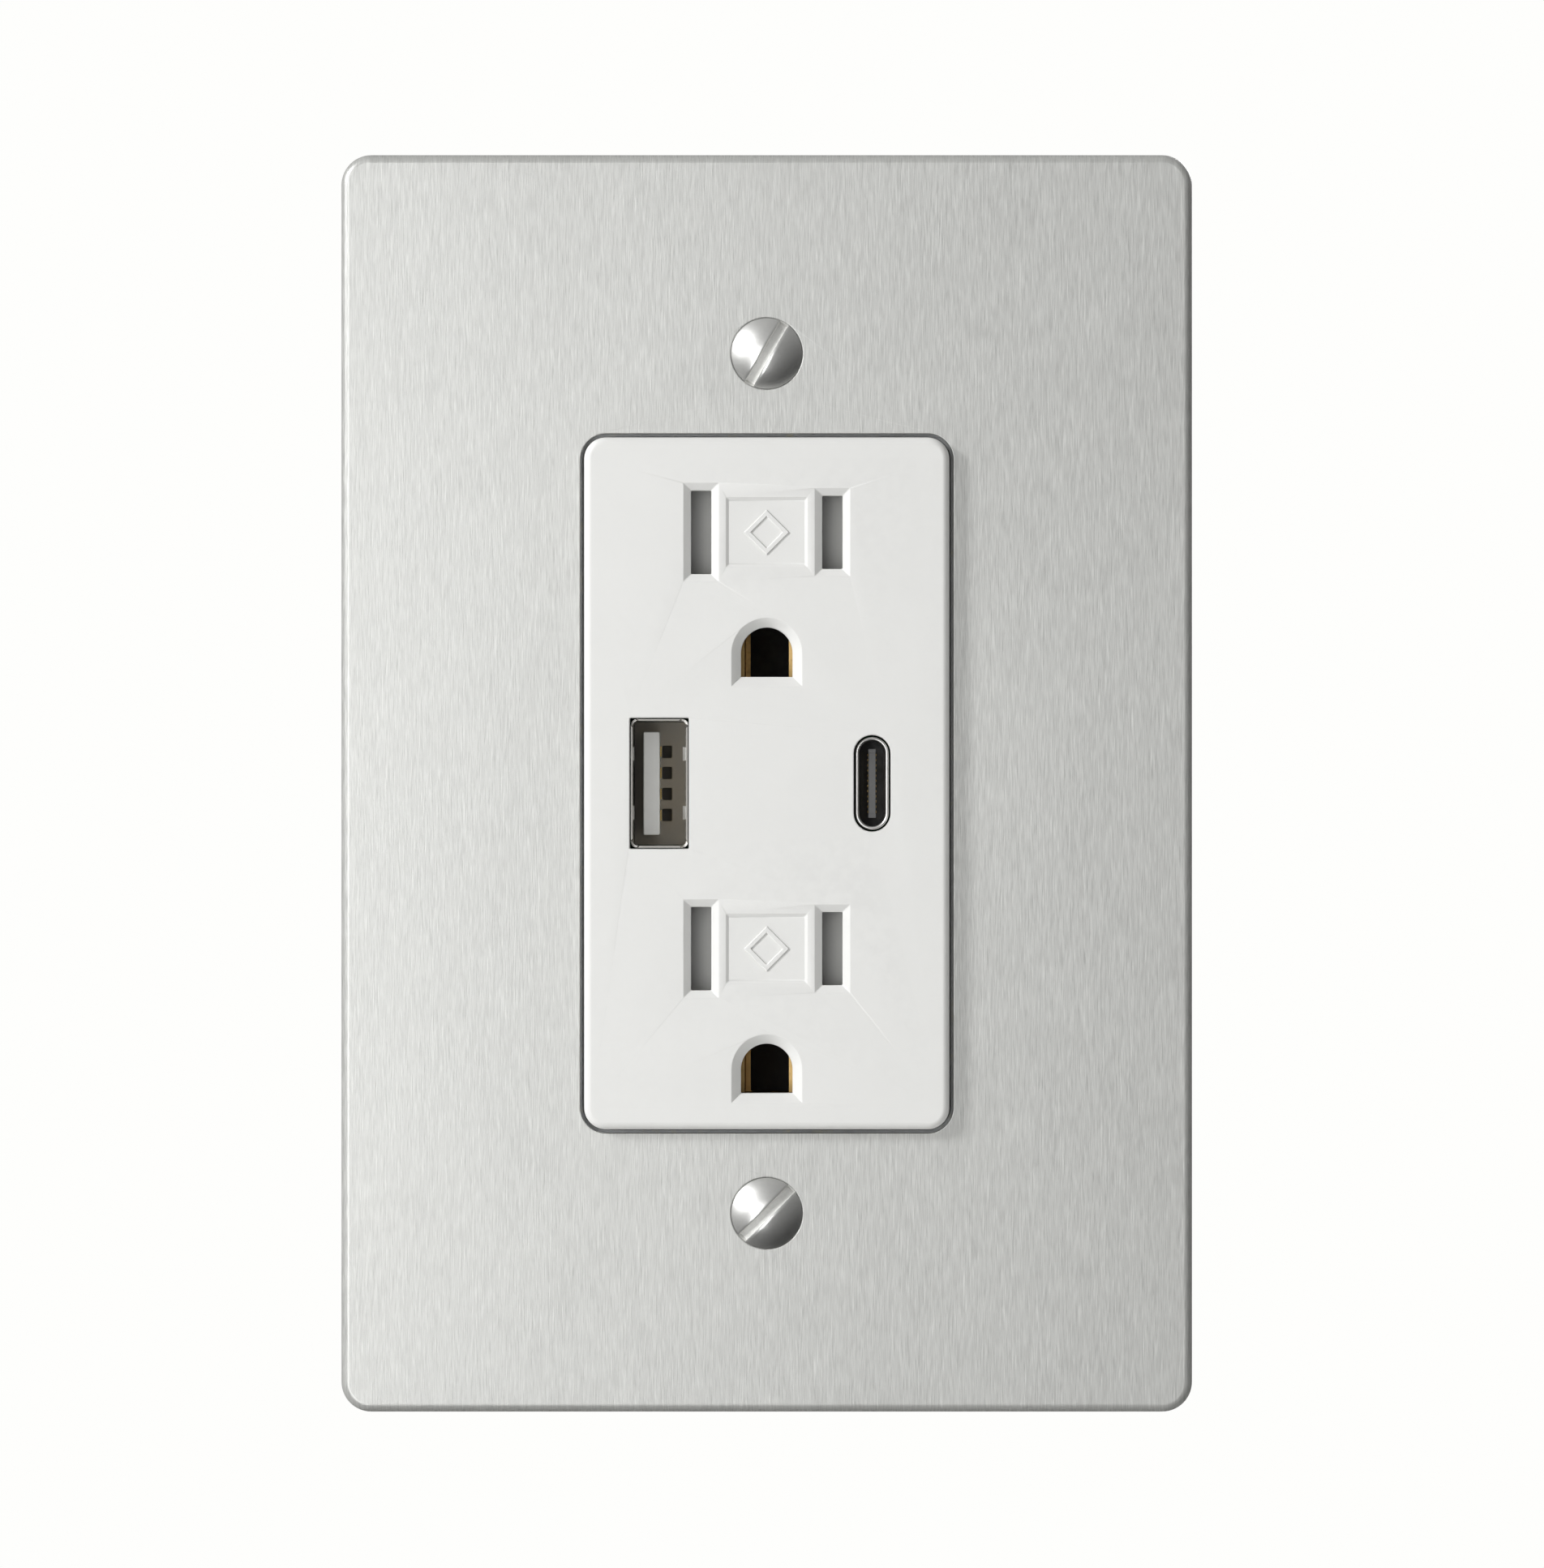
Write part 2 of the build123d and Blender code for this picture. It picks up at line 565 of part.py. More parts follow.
with BuildPart() as rear_body:
    with BuildSketch(at(BODY_DEPTH)):
        RectangleRounded(TAIL_W, TAIL_H, TAIL_CORNER_R)
    extrude(amount=BODY_DEPTH - BODY_STEP_Y / 2)
    fillet(rear_body.faces().sort_by(Axis.Y)[-1].edges(), TAIL_EDGE_R)
    with BuildSketch(at(BODY_STEP_Y)):
        RectangleRounded(BODY_W, BODY_H, BODY_CORNER_R)
    extrude(amount=BODY_STEP_Y)
    with BuildSketch(at(CAVITY_FRONT)):
        RectangleRounded(BODY_W - 2 * RIM_WALL, BODY_H - 2 * RIM_WALL, BODY_CORNER_R - RIM_WALL)
    extrude(amount=CAVITY_FRONT, mode=Mode.SUBTRACT)
    with BuildSketch(at(CAVITY_BACK)):
        RectangleRounded(CAVITY_W, CAVITY_H, TAIL_CORNER_R - BODY_WALL)
    extrude(amount=CAVITY_BACK - CAVITY_FRONT, mode=Mode.SUBTRACT)
    for side_sign in (-1, 1):
        for line_z in TERMINAL_LINES.values():
            terminal_pocket(side_sign, line_z)
            slit = sorted((side_sign * BUS_X, side_sign * (TERMINAL_PLATE_X + TERMINAL_PLATE_T)))
            block(slit, (CAVITY_FRONT, BUS_BACK_Y + BRIDGE_GAP),
                  (line_z - BRIDGE_H / 2 - BRIDGE_GAP, line_z + BRIDGE_H / 2 + BRIDGE_GAP),
                  Mode.SUBTRACT)
    terminal_pocket(-1, GROUND_TERMINAL_Z)
    block((-BODY_W, -TERMINAL_PLATE_X), (CAVITY_FRONT, POCKET_BACK),
          (-BODY_H, GROUND_TERMINAL_Z), Mode.SUBTRACT)
    block((-GROUND_STRIP_W / 2 - BRIDGE_GAP, GROUND_STRIP_W / 2 + BRIDGE_GAP),
          (0, FLANGE_T + GROUND_STRIP_T + 2 * BRIDGE_GAP),
          (-BODY_H, -CAVITY_H / 2 + BODY_WALL), Mode.SUBTRACT)
    for hole_z in ASSEMBLY_LINES:
        for hole_x in (-ASSEMBLY_X, ASSEMBLY_X):
            rod(hole_x, hole_z, ASSEMBLY_R + ASSEMBLY_GAP, 0, BODY_STEP_Y, Mode.SUBTRACT)
            rod(hole_x, hole_z, ASSEMBLY_HEAD_R + ASSEMBLY_GAP,
                BODY_STEP_Y - ASSEMBLY_HEAD_T, BODY_STEP_Y, Mode.SUBTRACT)
    for post_x in (-1, 1):
        for post_z in (-1, 1):
            block(sorted((post_x * CAVITY_W / 2, post_x * (CAVITY_W / 2 - POST_SIDE))),
                  (BOARD_BACK, CAVITY_BACK),
                  sorted((post_z * CAVITY_H / 2, post_z * (CAVITY_H / 2 - POST_SIDE))))
    with BuildSketch(at(BODY_DEPTH)) as back_marks:
        with Locations((0, BACK_PANEL_Z)):
            RectangleRounded(BACK_PANEL_W, BACK_PANEL_H, TAIL_EDGE_R)
    extrude(back_marks.sketch, amount=BACK_PANEL_DEPTH, mode=Mode.SUBTRACT)
    with BuildSketch(at(BODY_DEPTH)) as gauge:
        with Locations((0, STRIP_GAUGE_Z)):
            SlotOverall(STRIP_GAUGE_L, STRIP_GAUGE_W)
    extrude(gauge.sketch, amount=STRIP_GAUGE_DEPTH, mode=Mode.SUBTRACT)
    for side_sign in (-1, 1):
        for groove_z in SIDE_GROOVE_LINES:
            block(sorted((side_sign * TAIL_W, side_sign * (TAIL_W / 2 - SIDE_GROOVE_DEPTH))),
                  (BODY_STEP_Y + SIDE_GROOVE_START, BODY_DEPTH - SIDE_GROOVE_END),
                  (groove_z - SIDE_GROOVE_W / 2, groove_z + SIDE_GROOVE_W / 2), Mode.SUBTRACT)
save(rear_body, "rear_body")

with BuildPart() as assembly_screws:
    for hole_z in ASSEMBLY_LINES:
        for hole_x in (-ASSEMBLY_X, ASSEMBLY_X):
            rod(hole_x, hole_z, ASSEMBLY_R, FIT_GAP, BODY_STEP_Y)
            rod(hole_x, hole_z, ASSEMBLY_HEAD_R, BODY_STEP_Y - ASSEMBLY_HEAD_T, BODY_STEP_Y)
            with BuildSketch(at(BODY_STEP_Y)):
                with Locations((hole_x, hole_z)):
                    Rectangle(2 * ASSEMBLY_HEAD_R, ASSEMBLY_HEAD_R / 4, rotation=45)
                    Rectangle(2 * ASSEMBLY_HEAD_R, ASSEMBLY_HEAD_R / 4, rotation=-45)
                    Circle(0.7 * ASSEMBLY_HEAD_R, mode=Mode.INTERSECT)
            extrude(amount=ASSEMBLY_HEAD_T / 2, mode=Mode.SUBTRACT)
save(assembly_screws, "assembly_screws")

# ======== contacts and terminals ========


def blade_clip(side, z):
    """Two spring leaves that grip a blade, and the web that joins them to the bus."""
    x = side * BLADE_X
    outer = BLADE_GAP / 2 + LEAF_T
    heights = (z - LEAF_H / 2, z + LEAF_H / 2)
    for leaf in (-1, 1):
        block(sorted((x + leaf * BLADE_GAP / 2, x + leaf * outer)),
              (LEAF_FRONT_Y, BUS_BACK_Y), heights)
    block(sorted((x - side * outer, side * (BUS_X + BUS_T))),
          (BUS_BACK_Y - BUS_T, BUS_BACK_Y), heights)


def terminal_plate(side, z):
    """Flat plate with the tapped hole of a terminal screw."""
    half = TERMINAL_PLATE_SIDE / 2
    block(sorted((side * TERMINAL_PLATE_X, side * (TERMINAL_PLATE_X + TERMINAL_PLATE_T))),
          (TERMINAL_Y - half, TERMINAL_Y + half), (z - half, z + half))


def terminal_hole(side, z):
    """Cut the tapped hole through a terminal plate."""
    side_rod(TERMINAL_Y, z, TERMINAL_SCREW_R + TERMINAL_RUN_GAP,
             sorted((side * BUS_X, side * (TERMINAL_PLATE_X + TERMINAL_PLATE_T))), Mode.SUBTRACT)


def contact_set(side, node):
    """One line's brass: a bus along the body, a clip per outlet, and a plate per terminal."""
    reach = OUTLET_LINES.values()
    with BuildPart() as contact:
        block(sorted((side * BUS_X, side * (BUS_X + BUS_T))), (BUS_FRONT_Y, BUS_BACK_Y),
              (min(reach) - LEAF_H / 2, max(reach) + LEAF_H / 2))
        block(sorted((side * BUS_X, side * (BUS_X + BUS_T))),
              (BUS_FRONT_Y, POWER_BOARD_Y - FIT_GAP), (-BUS_TAB_H / 2, BUS_TAB_H / 2))
        for line_z in OUTLET_LINES.values():
            blade_clip(side, line_z)
        for line_z in TERMINAL_LINES.values():
            block(sorted((side * BUS_X, side * (TERMINAL_PLATE_X + TERMINAL_PLATE_T))),
                  (BUS_FRONT_Y, BUS_BACK_Y), (line_z - BRIDGE_H / 2, line_z + BRIDGE_H / 2))
            terminal_plate(side, line_z)
        for line_z in TERMINAL_LINES.values():
            terminal_hole(side, line_z)
    save(contact, node)


contact_set(1, "hot_contact")
contact_set(-1, "neutral_contact")

with BuildPart() as ground_contact:
    strip_x = (-GROUND_STRIP_W / 2, GROUND_STRIP_W / 2)
    leaf_outer = GROUND_LEAF_GAP / 2 + GROUND_LEAF_T
    strip_back = GROUND_STRIP_Y + GROUND_STRIP_T
    turn_z = -CAVITY_H / 2 + FIT_GAP
    leg_front = FLANGE_T + 2 * FIT_GAP
    for line_z in OUTLET_LINES.values():
        pin_z = line_z - GROUND_DROP
        for leaf_sign in (-1, 1):
            block(sorted((leaf_sign * GROUND_LEAF_GAP / 2, leaf_sign * leaf_outer)),
                  (LEAF_FRONT_Y, strip_back), (pin_z - GROUND_HOLE_R, pin_z + GROUND_HOLE_R))
        block((-leaf_outer, leaf_outer), (GROUND_STRIP_Y, strip_back),
              (pin_z - GROUND_HOLE_R, pin_z + GROUND_HOLE_R))
    block(strip_x, (GROUND_STRIP_Y, strip_back),
          (turn_z, OUTLET_LINES["upper"] - GROUND_DROP))
    block(strip_x, (leg_front, strip_back), (turn_z, turn_z + GROUND_STRIP_T))
    block(strip_x, (leg_front, leg_front + GROUND_STRIP_T),
          (FOOT_TOP_Z - GROUND_STRIP_T, turn_z + GROUND_STRIP_T))
    block(strip_x, (0, leg_front + GROUND_STRIP_T), (FOOT_TOP_Z - GROUND_STRIP_T, FOOT_TOP_Z))
    block(strip_x, (0, FOOT_T), (GROUND_FOOT_Z, FOOT_TOP_Z))
    for line_z in OUTLET_LINES.values():
        window_z = line_z - GROUND_DROP
        block((-GROUND_WINDOW_LEFT, GROUND_LEAF_GAP / 2), (GROUND_STRIP_Y, strip_back),
              (window_z - GROUND_WINDOW_H / 2, window_z + GROUND_WINDOW_H / 2), Mode.SUBTRACT)
    rod(*GROUND_STRIP_RIVET, RIVET_R, 0, FOOT_T, Mode.SUBTRACT)
save(ground_contact, "ground_contact")

with BuildPart() as ground_terminal_plate:
    plate_x = (-TERMINAL_PLATE_X - TERMINAL_PLATE_T, -TERMINAL_PLATE_X)
    terminal_plate(-1, GROUND_TERMINAL_Z)
    block(plate_x, (TERMINAL_Y - TERMINAL_PLATE_SIDE / 2, TERMINAL_Y + TERMINAL_PLATE_SIDE / 2),
          (FOOT_TOP_Z, GROUND_TERMINAL_Z))
    block(plate_x, (0, TERMINAL_Y + TERMINAL_PLATE_SIDE / 2), (GROUND_FOOT_Z, FOOT_TOP_Z))
    block((plate_x[0], GROUND_PLATE_RIVET[0] + 2 * RIVET_HEAD_R), (0, FOOT_T),
          (GROUND_FOOT_Z, FOOT_TOP_Z))
    terminal_hole(-1, GROUND_TERMINAL_Z)
    rod(*GROUND_PLATE_RIVET, RIVET_R, 0, FOOT_T, Mode.SUBTRACT)
save(ground_terminal_plate, "ground_terminal_plate")

with BuildPart() as ground_rivets:
    for rivet_x, rivet_z in (GROUND_PLATE_RIVET, GROUND_STRIP_RIVET):
        rod(rivet_x, rivet_z, RIVET_R, -STRAP_T, FOOT_T)
        rod(rivet_x, rivet_z, RIVET_HEAD_R, -STRAP_T - RIVET_HEAD_T, -STRAP_T)
        rod(rivet_x, rivet_z, RIVET_HEAD_R, FOOT_T, FOOT_T + RIVET_HEAD_T)
save(ground_rivets, "ground_rivets")


def terminal(prefix, side, z):
    """A terminal's clamp plate with its turned-in lips, and its slotted screw."""
    half = TERMINAL_PLATE_SIDE / 2
    inner, outer = CLAMP_X, CLAMP_X + CLAMP_T
    head_end = TERMINAL_OUTER_X + TERMINAL_HEAD_T
    with BuildPart() as clamp:
        block(sorted((side * inner, side * outer)),
              (TERMINAL_Y - half, TERMINAL_Y + half), (z - half, z + half))
        side_rod(TERMINAL_Y, z, TERMINAL_SCREW_R + TERMINAL_RUN_GAP,
                 sorted((side * inner, side * outer)), Mode.SUBTRACT)
        edges_along_x = clamp.edges().filter_by(Axis.X)
        chamfer(edges_along_x, CLAMP_LIP)
    save(clamp, f"{prefix}_clamp")
    with BuildPart() as screw:
        side_rod(TERMINAL_Y, z, TERMINAL_SCREW_R,
                 sorted((side * TERMINAL_SHANK_END, side * TERMINAL_OUTER_X)))
        side_rod(TERMINAL_Y, z, TERMINAL_HEAD_R, sorted((side * TERMINAL_OUTER_X, side * head_end)))
        block(sorted((side * (head_end - TERMINAL_SLOT_DEPTH), side * BODY_W)),
              (TERMINAL_Y - 2 * TERMINAL_HEAD_R, TERMINAL_Y + 2 * TERMINAL_HEAD_R),
              (z - DRIVE_SLOT_W / 2, z + DRIVE_SLOT_W / 2), Mode.SUBTRACT)
    save(screw, f"{prefix}_screw")


for height, line_z in TERMINAL_LINES.items():
    terminal(f"hot_{height}_terminal", 1, line_z)
    terminal(f"neutral_{height}_terminal", -1, line_z)
terminal("ground_terminal", -1, GROUND_TERMINAL_Z)

# ======== shutters ========


def shutter(node, z):
    """Slide behind a pair of blade slots: a ramped pad covers each, with a window to its left."""
    back = TRAY_FLOOR_Y - SHUTTER_SIDE_GAP
    base_front = back - SHUTTER_BASE_T
    pad_front = FACE_INSIDE + SHUTTER_FRONT_GAP
    with BuildPart() as slide:
        block((SHUTTER_LEFT, SHUTTER_RIGHT), (base_front, back),
              (z - SHUTTER_H / 2, z + SHUTTER_H / 2))
        for blade_x in (-BLADE_X, BLADE_X):
            left, right = blade_x - PAD_LEFT, blade_x + PAD_RIGHT
            with BuildSketch(Plane.XY.offset(z - PAD_H / 2)):
                with BuildLine():
                    Polyline((left, base_front), (right, base_front), (right, pad_front),
                             (blade_x + BLADE_SLOT_W / 2, pad_front), close=True)
                make_face()
            extrude(amount=PAD_H)
            window_x = blade_x - SHUTTER_TRAVEL
            block((window_x - SHUTTER_WINDOW_W / 2, window_x + SHUTTER_WINDOW_W / 2),
                  (base_front, back), (z - SHUTTER_WINDOW_H / 2, z + SHUTTER_WINDOW_H / 2),
                  Mode.SUBTRACT)
        block((SHUTTER_RIGHT - TRAY_WALL, SHUTTER_RIGHT), (pad_front, back),
              (z - SPRING_R - TRAY_WALL, z + SPRING_R + TRAY_WALL))
    save(slide, node)


def shutter_tray(node, z):
    """Open-fronted tray behind the face that guides a shutter, with a window behind each slot."""
    inner_left = SHUTTER_LEFT - TRAY_LEFT_GAP
    inner_right = SHUTTER_RIGHT + SPRING_ROOM
    inner_half = SHUTTER_H / 2 + SHUTTER_SIDE_GAP
    with BuildPart() as tray:
        block((inner_left - TRAY_WALL, inner_right + TRAY_WALL),
              (FACE_INSIDE, TRAY_FLOOR_Y + TRAY_FLOOR_T),
              (z - inner_half - TRAY_WALL, z + inner_half + TRAY_WALL))
        block((inner_left, inner_right), (FACE_INSIDE, TRAY_FLOOR_Y),
              (z - inner_half, z + inner_half), Mode.SUBTRACT)
        for blade_x in (-BLADE_X, BLADE_X):
            block((blade_x - SHUTTER_WINDOW_W / 2, blade_x + SHUTTER_WINDOW_W / 2),
                  (TRAY_FLOOR_Y, TRAY_FLOOR_Y + TRAY_FLOOR_T),
                  (z - SHUTTER_WINDOW_H / 2, z + SHUTTER_WINDOW_H / 2), Mode.SUBTRACT)
    save(tray, node)


def shutter_spring(node, z):
    """Compression spring between the shutter's right end and the tray."""
    clear = SPRING_WIRE_R + FIT_GAP / 2
    length = SPRING_ROOM - 2 * clear
    axis_y = (FACE_INSIDE + TRAY_FLOOR_Y) / 2
    with BuildPart() as spring:
        with BuildLine() as coil:
            Helix(pitch=length / SPRING_TURNS, height=length, radius=SPRING_R,
                  center=(SHUTTER_RIGHT + clear, axis_y, z), direction=(1, 0, 0))
        with BuildSketch(Plane(origin=coil.line @ 0, z_dir=coil.line % 0)):
            Circle(SPRING_WIRE_R)
        sweep(is_frenet=True)
    save(spring, node)


for height, line_z in OUTLET_LINES.items():
    shutter(f"{height}_shutter", line_z)
    shutter_tray(f"{height}_shutter_tray", line_z)
    shutter_spring(f"{height}_shutter_spring", line_z)

# ======== USB ports ========

with BuildPart() as usb_a_shell:
    with BuildSketch(at(USB_BOARD_Y)):
        with Locations((USB_A_X, 0)):
            RectangleRounded(USB_A_W, USB_A_H, USB_A_CORNER_R)
            RectangleRounded(USB_A_W - 2 * USB_A_WALL, USB_A_H - 2 * USB_A_WALL,
                             USB_A_CORNER_R - USB_A_WALL, mode=Mode.SUBTRACT)
    extrude(amount=USB_BOARD_Y - PORT_FRONT)
    for notch_x in (USB_A_X - USB_A_W / 2, USB_A_X + USB_A_W / 2):
        for notch_z in (-USB_A_H / 2, USB_A_H / 2):
            block((notch_x - USB_A_NOTCH, notch_x + USB_A_NOTCH),
                  (PORT_FRONT, PORT_FRONT + USB_A_NOTCH_DEPTH),
                  (notch_z - USB_A_NOTCH, notch_z + USB_A_NOTCH), Mode.SUBTRACT)
save(usb_a_shell, "usb_a_shell")

TONGUE_LEFT = USB_A_X - USB_TONGUE_BACK
TONGUE_RIGHT = TONGUE_LEFT + USB_TONGUE_T
BASE_FRONT = USB_BOARD_Y - USB_BASE_T

with BuildPart() as usb_a_insulator:
    base_w = USB_A_W - 2 * USB_A_WALL - FIT_GAP
    base_h = USB_A_H - 2 * USB_A_WALL - FIT_GAP
    block((USB_A_X - base_w / 2, USB_A_X + base_w / 2), (BASE_FRONT, USB_BOARD_Y),
          (-base_h / 2, base_h / 2))
    block((TONGUE_LEFT, TONGUE_RIGHT), (PORT_FRONT + USB_TONGUE_RECESS, BASE_FRONT),
          (-USB_TONGUE_H / 2, USB_TONGUE_H / 2))
    for pin_z in USB_A_PITCH:
        block((TONGUE_RIGHT, TONGUE_RIGHT + USB_A_CONTACT_T), (BASE_FRONT, USB_BOARD_Y),
              (pin_z - USB_A_CONTACT_W / 2, pin_z + USB_A_CONTACT_W / 2), Mode.SUBTRACT)
        pocket_left = TONGUE_RIGHT + USB_A_POCKET_START
        block((pocket_left, pocket_left + USB_A_POCKET_W),
              (BASE_FRONT, BASE_FRONT + USB_A_POCKET_DEPTH),
              (pin_z - USB_A_POCKET_H / 2, pin_z + USB_A_POCKET_H / 2), Mode.SUBTRACT)
save(usb_a_insulator, "usb_a_insulator")

with BuildPart() as usb_a_contacts:
    for pin_z in USB_A_PITCH:
        block((TONGUE_RIGHT, TONGUE_RIGHT + USB_A_CONTACT_T),
              (PORT_FRONT + USB_TONGUE_RECESS + USB_A_CONTACT_SET_BACK, USB_BOARD_Y),
              (pin_z - USB_A_CONTACT_W / 2, pin_z + USB_A_CONTACT_W / 2))
save(usb_a_contacts, "usb_a_contacts")

with BuildPart() as usb_c_shell:
    with BuildSketch(at(USB_BOARD_Y)):
        with Locations((USB_C_X, 0)):
            SlotOverall(USB_C_INNER_H + 2 * USB_C_WALL, USB_C_INNER_W + 2 * USB_C_WALL,
                        rotation=90)
            SlotOverall(USB_C_INNER_H, USB_C_INNER_W, rotation=90, mode=Mode.SUBTRACT)
    extrude(amount=USB_BOARD_Y - PORT_FRONT)
save(usb_c_shell, "usb_c_shell")

USB_C_BASE_FRONT = PORT_FRONT + USB_C_ROOM
USB_C_CONTACT_FRONT = PORT_FRONT + USB_C_TONGUE_RECESS + USB_C_CONTACT_SET_BACK

with BuildPart() as usb_c_insulator:
    with BuildSketch(at(USB_BOARD_Y)):
        with Locations((USB_C_X, 0)):
            SlotOverall(USB_C_INNER_H - FIT_GAP, USB_C_INNER_W - FIT_GAP, rotation=90)
    extrude(amount=USB_BOARD_Y - USB_C_BASE_FRONT)
    block((USB_C_X - USB_C_TONGUE_T / 2, USB_C_X + USB_C_TONGUE_T / 2),
          (PORT_FRONT + USB_C_TONGUE_RECESS, USB_C_BASE_FRONT),
          (-USB_C_TONGUE_H / 2, USB_C_TONGUE_H / 2))
save(usb_c_insulator, "usb_c_insulator")

with BuildPart() as usb_c_contacts:
    for row_sign in (-1, 1):
        row_x = sorted((USB_C_X + row_sign * USB_C_TONGUE_T / 2,
                        USB_C_X + row_sign * (USB_C_TONGUE_T / 2 + USB_C_CONTACT_T)))
        for pin_index in range(USB_C_CONTACTS):
            pin_z = (pin_index - (USB_C_CONTACTS - 1) / 2) * USB_C_PITCH
            block(row_x, (USB_C_CONTACT_FRONT, USB_C_BASE_FRONT),
                  (pin_z - USB_C_CONTACT_W / 2, pin_z + USB_C_CONTACT_W / 2))
save(usb_c_contacts, "usb_c_contacts")

# ======== boards and what joins them ========

HEADER_LINES = [(i - (HEADER_PINS - 1) / 2) * HEADER_PITCH for i in range(HEADER_PINS)]
HEADER_FRONT = USB_BOARD_Y + USB_BOARD_T

with BuildPart() as usb_board:
    block((-USB_BOARD_W / 2, USB_BOARD_W / 2), (USB_BOARD_Y, HEADER_FRONT),
          (-USB_BOARD_H / 2, USB_BOARD_H / 2))
    for pin_z in HEADER_LINES:
        rod(HEADER_X, pin_z, HEADER_PIN_R + PIN_HOLE_GAP, USB_BOARD_Y, HEADER_FRONT, Mode.SUBTRACT)
save(usb_board, "usb_board")

with BuildPart() as header_block:
    block((HEADER_X - HEADER_PITCH / 2, HEADER_X + HEADER_PITCH / 2),
          (HEADER_FRONT, HEADER_FRONT + HEADER_BLOCK_T),
          (HEADER_LINES[0] - HEADER_PITCH / 2, HEADER_LINES[-1] + HEADER_PITCH / 2))
    for pin_z in HEADER_LINES:
        rod(HEADER_X, pin_z, HEADER_PIN_R + PIN_HOLE_GAP, HEADER_FRONT,
            HEADER_FRONT + HEADER_BLOCK_T, Mode.SUBTRACT)
save(header_block, "header_block")

with BuildPart() as header_pins:
    for pin_z in HEADER_LINES:
        rod(HEADER_X, pin_z, HEADER_PIN_R, USB_BOARD_Y - HEADER_PIN_PROUD,
            BOARD_BACK + HEADER_PIN_PROUD)
save(header_pins, "header_pins")

with BuildPart() as insulating_barrier:
    barrier_back = BARRIER_Y + BARRIER_T
    with BuildSketch(at(barrier_back)):
        RectangleRounded(CAVITY_W - 2 * FIT_GAP, CAVITY_H - 2 * FIT_GAP,
                         TAIL_CORNER_R - BODY_WALL)
    extrude(amount=BARRIER_T)
    block((HEADER_X - BARRIER_WINDOW, HEADER_X + BARRIER_WINDOW), (BARRIER_Y, barrier_back),
          (HEADER_LINES[0] - BARRIER_WINDOW, HEADER_LINES[-1] + BARRIER_WINDOW), Mode.SUBTRACT)
    for tab_side in (-1, 1):
        block(sorted((tab_side * (BUS_X - FIT_GAP), tab_side * CAVITY_W)),
              (BARRIER_Y, barrier_back), (-BUS_TAB_H / 2 - FIT_GAP, BUS_TAB_H / 2 + FIT_GAP),
              Mode.SUBTRACT)
save(insulating_barrier, "insulating_barrier")

with BuildPart() as power_board:
    block((-CAVITY_W / 2 + POWER_BOARD_GAP, CAVITY_W / 2 - POWER_BOARD_GAP),
          (POWER_BOARD_Y, BOARD_BACK),
          (-CAVITY_H / 2 + POWER_BOARD_GAP, CAVITY_H / 2 - POWER_BOARD_GAP))
    for pin_z in HEADER_LINES:
        rod(HEADER_X, pin_z, HEADER_PIN_R + PIN_HOLE_GAP, POWER_BOARD_Y, BOARD_BACK, Mode.SUBTRACT)
save(power_board, "power_board")

# ======== power supply parts ========

WINDING_BACK = BOARD_BACK + FIT_GAP + CORE_D + 2 * WINDING_RISE
CORE_FRONT = BOARD_BACK + FIT_GAP + WINDING_RISE
with BuildPart() as transformer_core:
    block((CORE_X - CORE_W / 2, CORE_X + CORE_W / 2), (CORE_FRONT, CORE_FRONT + CORE_D),
          (CORE_Z - CORE_H / 2, CORE_Z + CORE_H / 2))
    for window_sign in (-1, 1):
        near = CORE_X + window_sign * CORE_LEG_W / 2
        far = CORE_X + window_sign * (CORE_LEG_W / 2 + CORE_WINDOW_W)
        block(sorted((near, far)), (CORE_FRONT, CORE_FRONT + CORE_D),
              (CORE_Z - CORE_WINDOW_H / 2, CORE_Z + CORE_WINDOW_H / 2), Mode.SUBTRACT)
save(transformer_core, "transformer_core")

with BuildPart() as transformer_winding:
    winding_half = CORE_LEG_W / 2 + CORE_WINDOW_W - WINDING_GAP
    leg_half = CORE_LEG_W / 2 + WINDING_GAP
    winding_z = (CORE_Z - CORE_WINDOW_H / 2 + WINDING_GAP, CORE_Z + CORE_WINDOW_H / 2 - WINDING_GAP)
    block((CORE_X - winding_half, CORE_X + winding_half), (BOARD_BACK + FIT_GAP, WINDING_BACK),
          winding_z)
    block((CORE_X - leg_half, CORE_X + leg_half),
          (CORE_FRONT - WINDING_GAP, CORE_FRONT + CORE_D + WINDING_GAP), winding_z, Mode.SUBTRACT)
save(transformer_winding, "transformer_winding")


def standing_cans(node, places, r, height):
    """Cylindrical parts standing on the power board."""
    with BuildPart() as cans:
        for can_x, can_z in places:
            rod(can_x, can_z, r, BOARD_BACK, BOARD_BACK + height)
        chamfer(cans.faces().sort_by(Axis.Y)[-len(places):].edges(), r / 12)
    save(cans, node)


standing_cans("input_capacitors", INPUT_CAN_PLACES, INPUT_CAN_R, INPUT_CAN_H)
standing_cans("output_capacitors", OUTPUT_CAN_PLACES, OUTPUT_CAN_R, OUTPUT_CAN_H)
standing_cans("filter_choke", (CHOKE_PLACE,), CHOKE_R, CHOKE_H)
standing_cans("board_fuse", (FUSE_PLACE,), FUSE_R, FUSE_H)

with BuildPart() as safety_capacitor:
    with BuildSketch(Plane.XY.offset(SAFETY_DISC_Z)):
        with Locations((SAFETY_DISC_X, BOARD_BACK + SAFETY_DISC_R + SAFETY_DISC_LIFT)):
            Circle(SAFETY_DISC_R)
    extrude(amount=SAFETY_DISC_T)
save(safety_capacitor, "safety_capacitor")

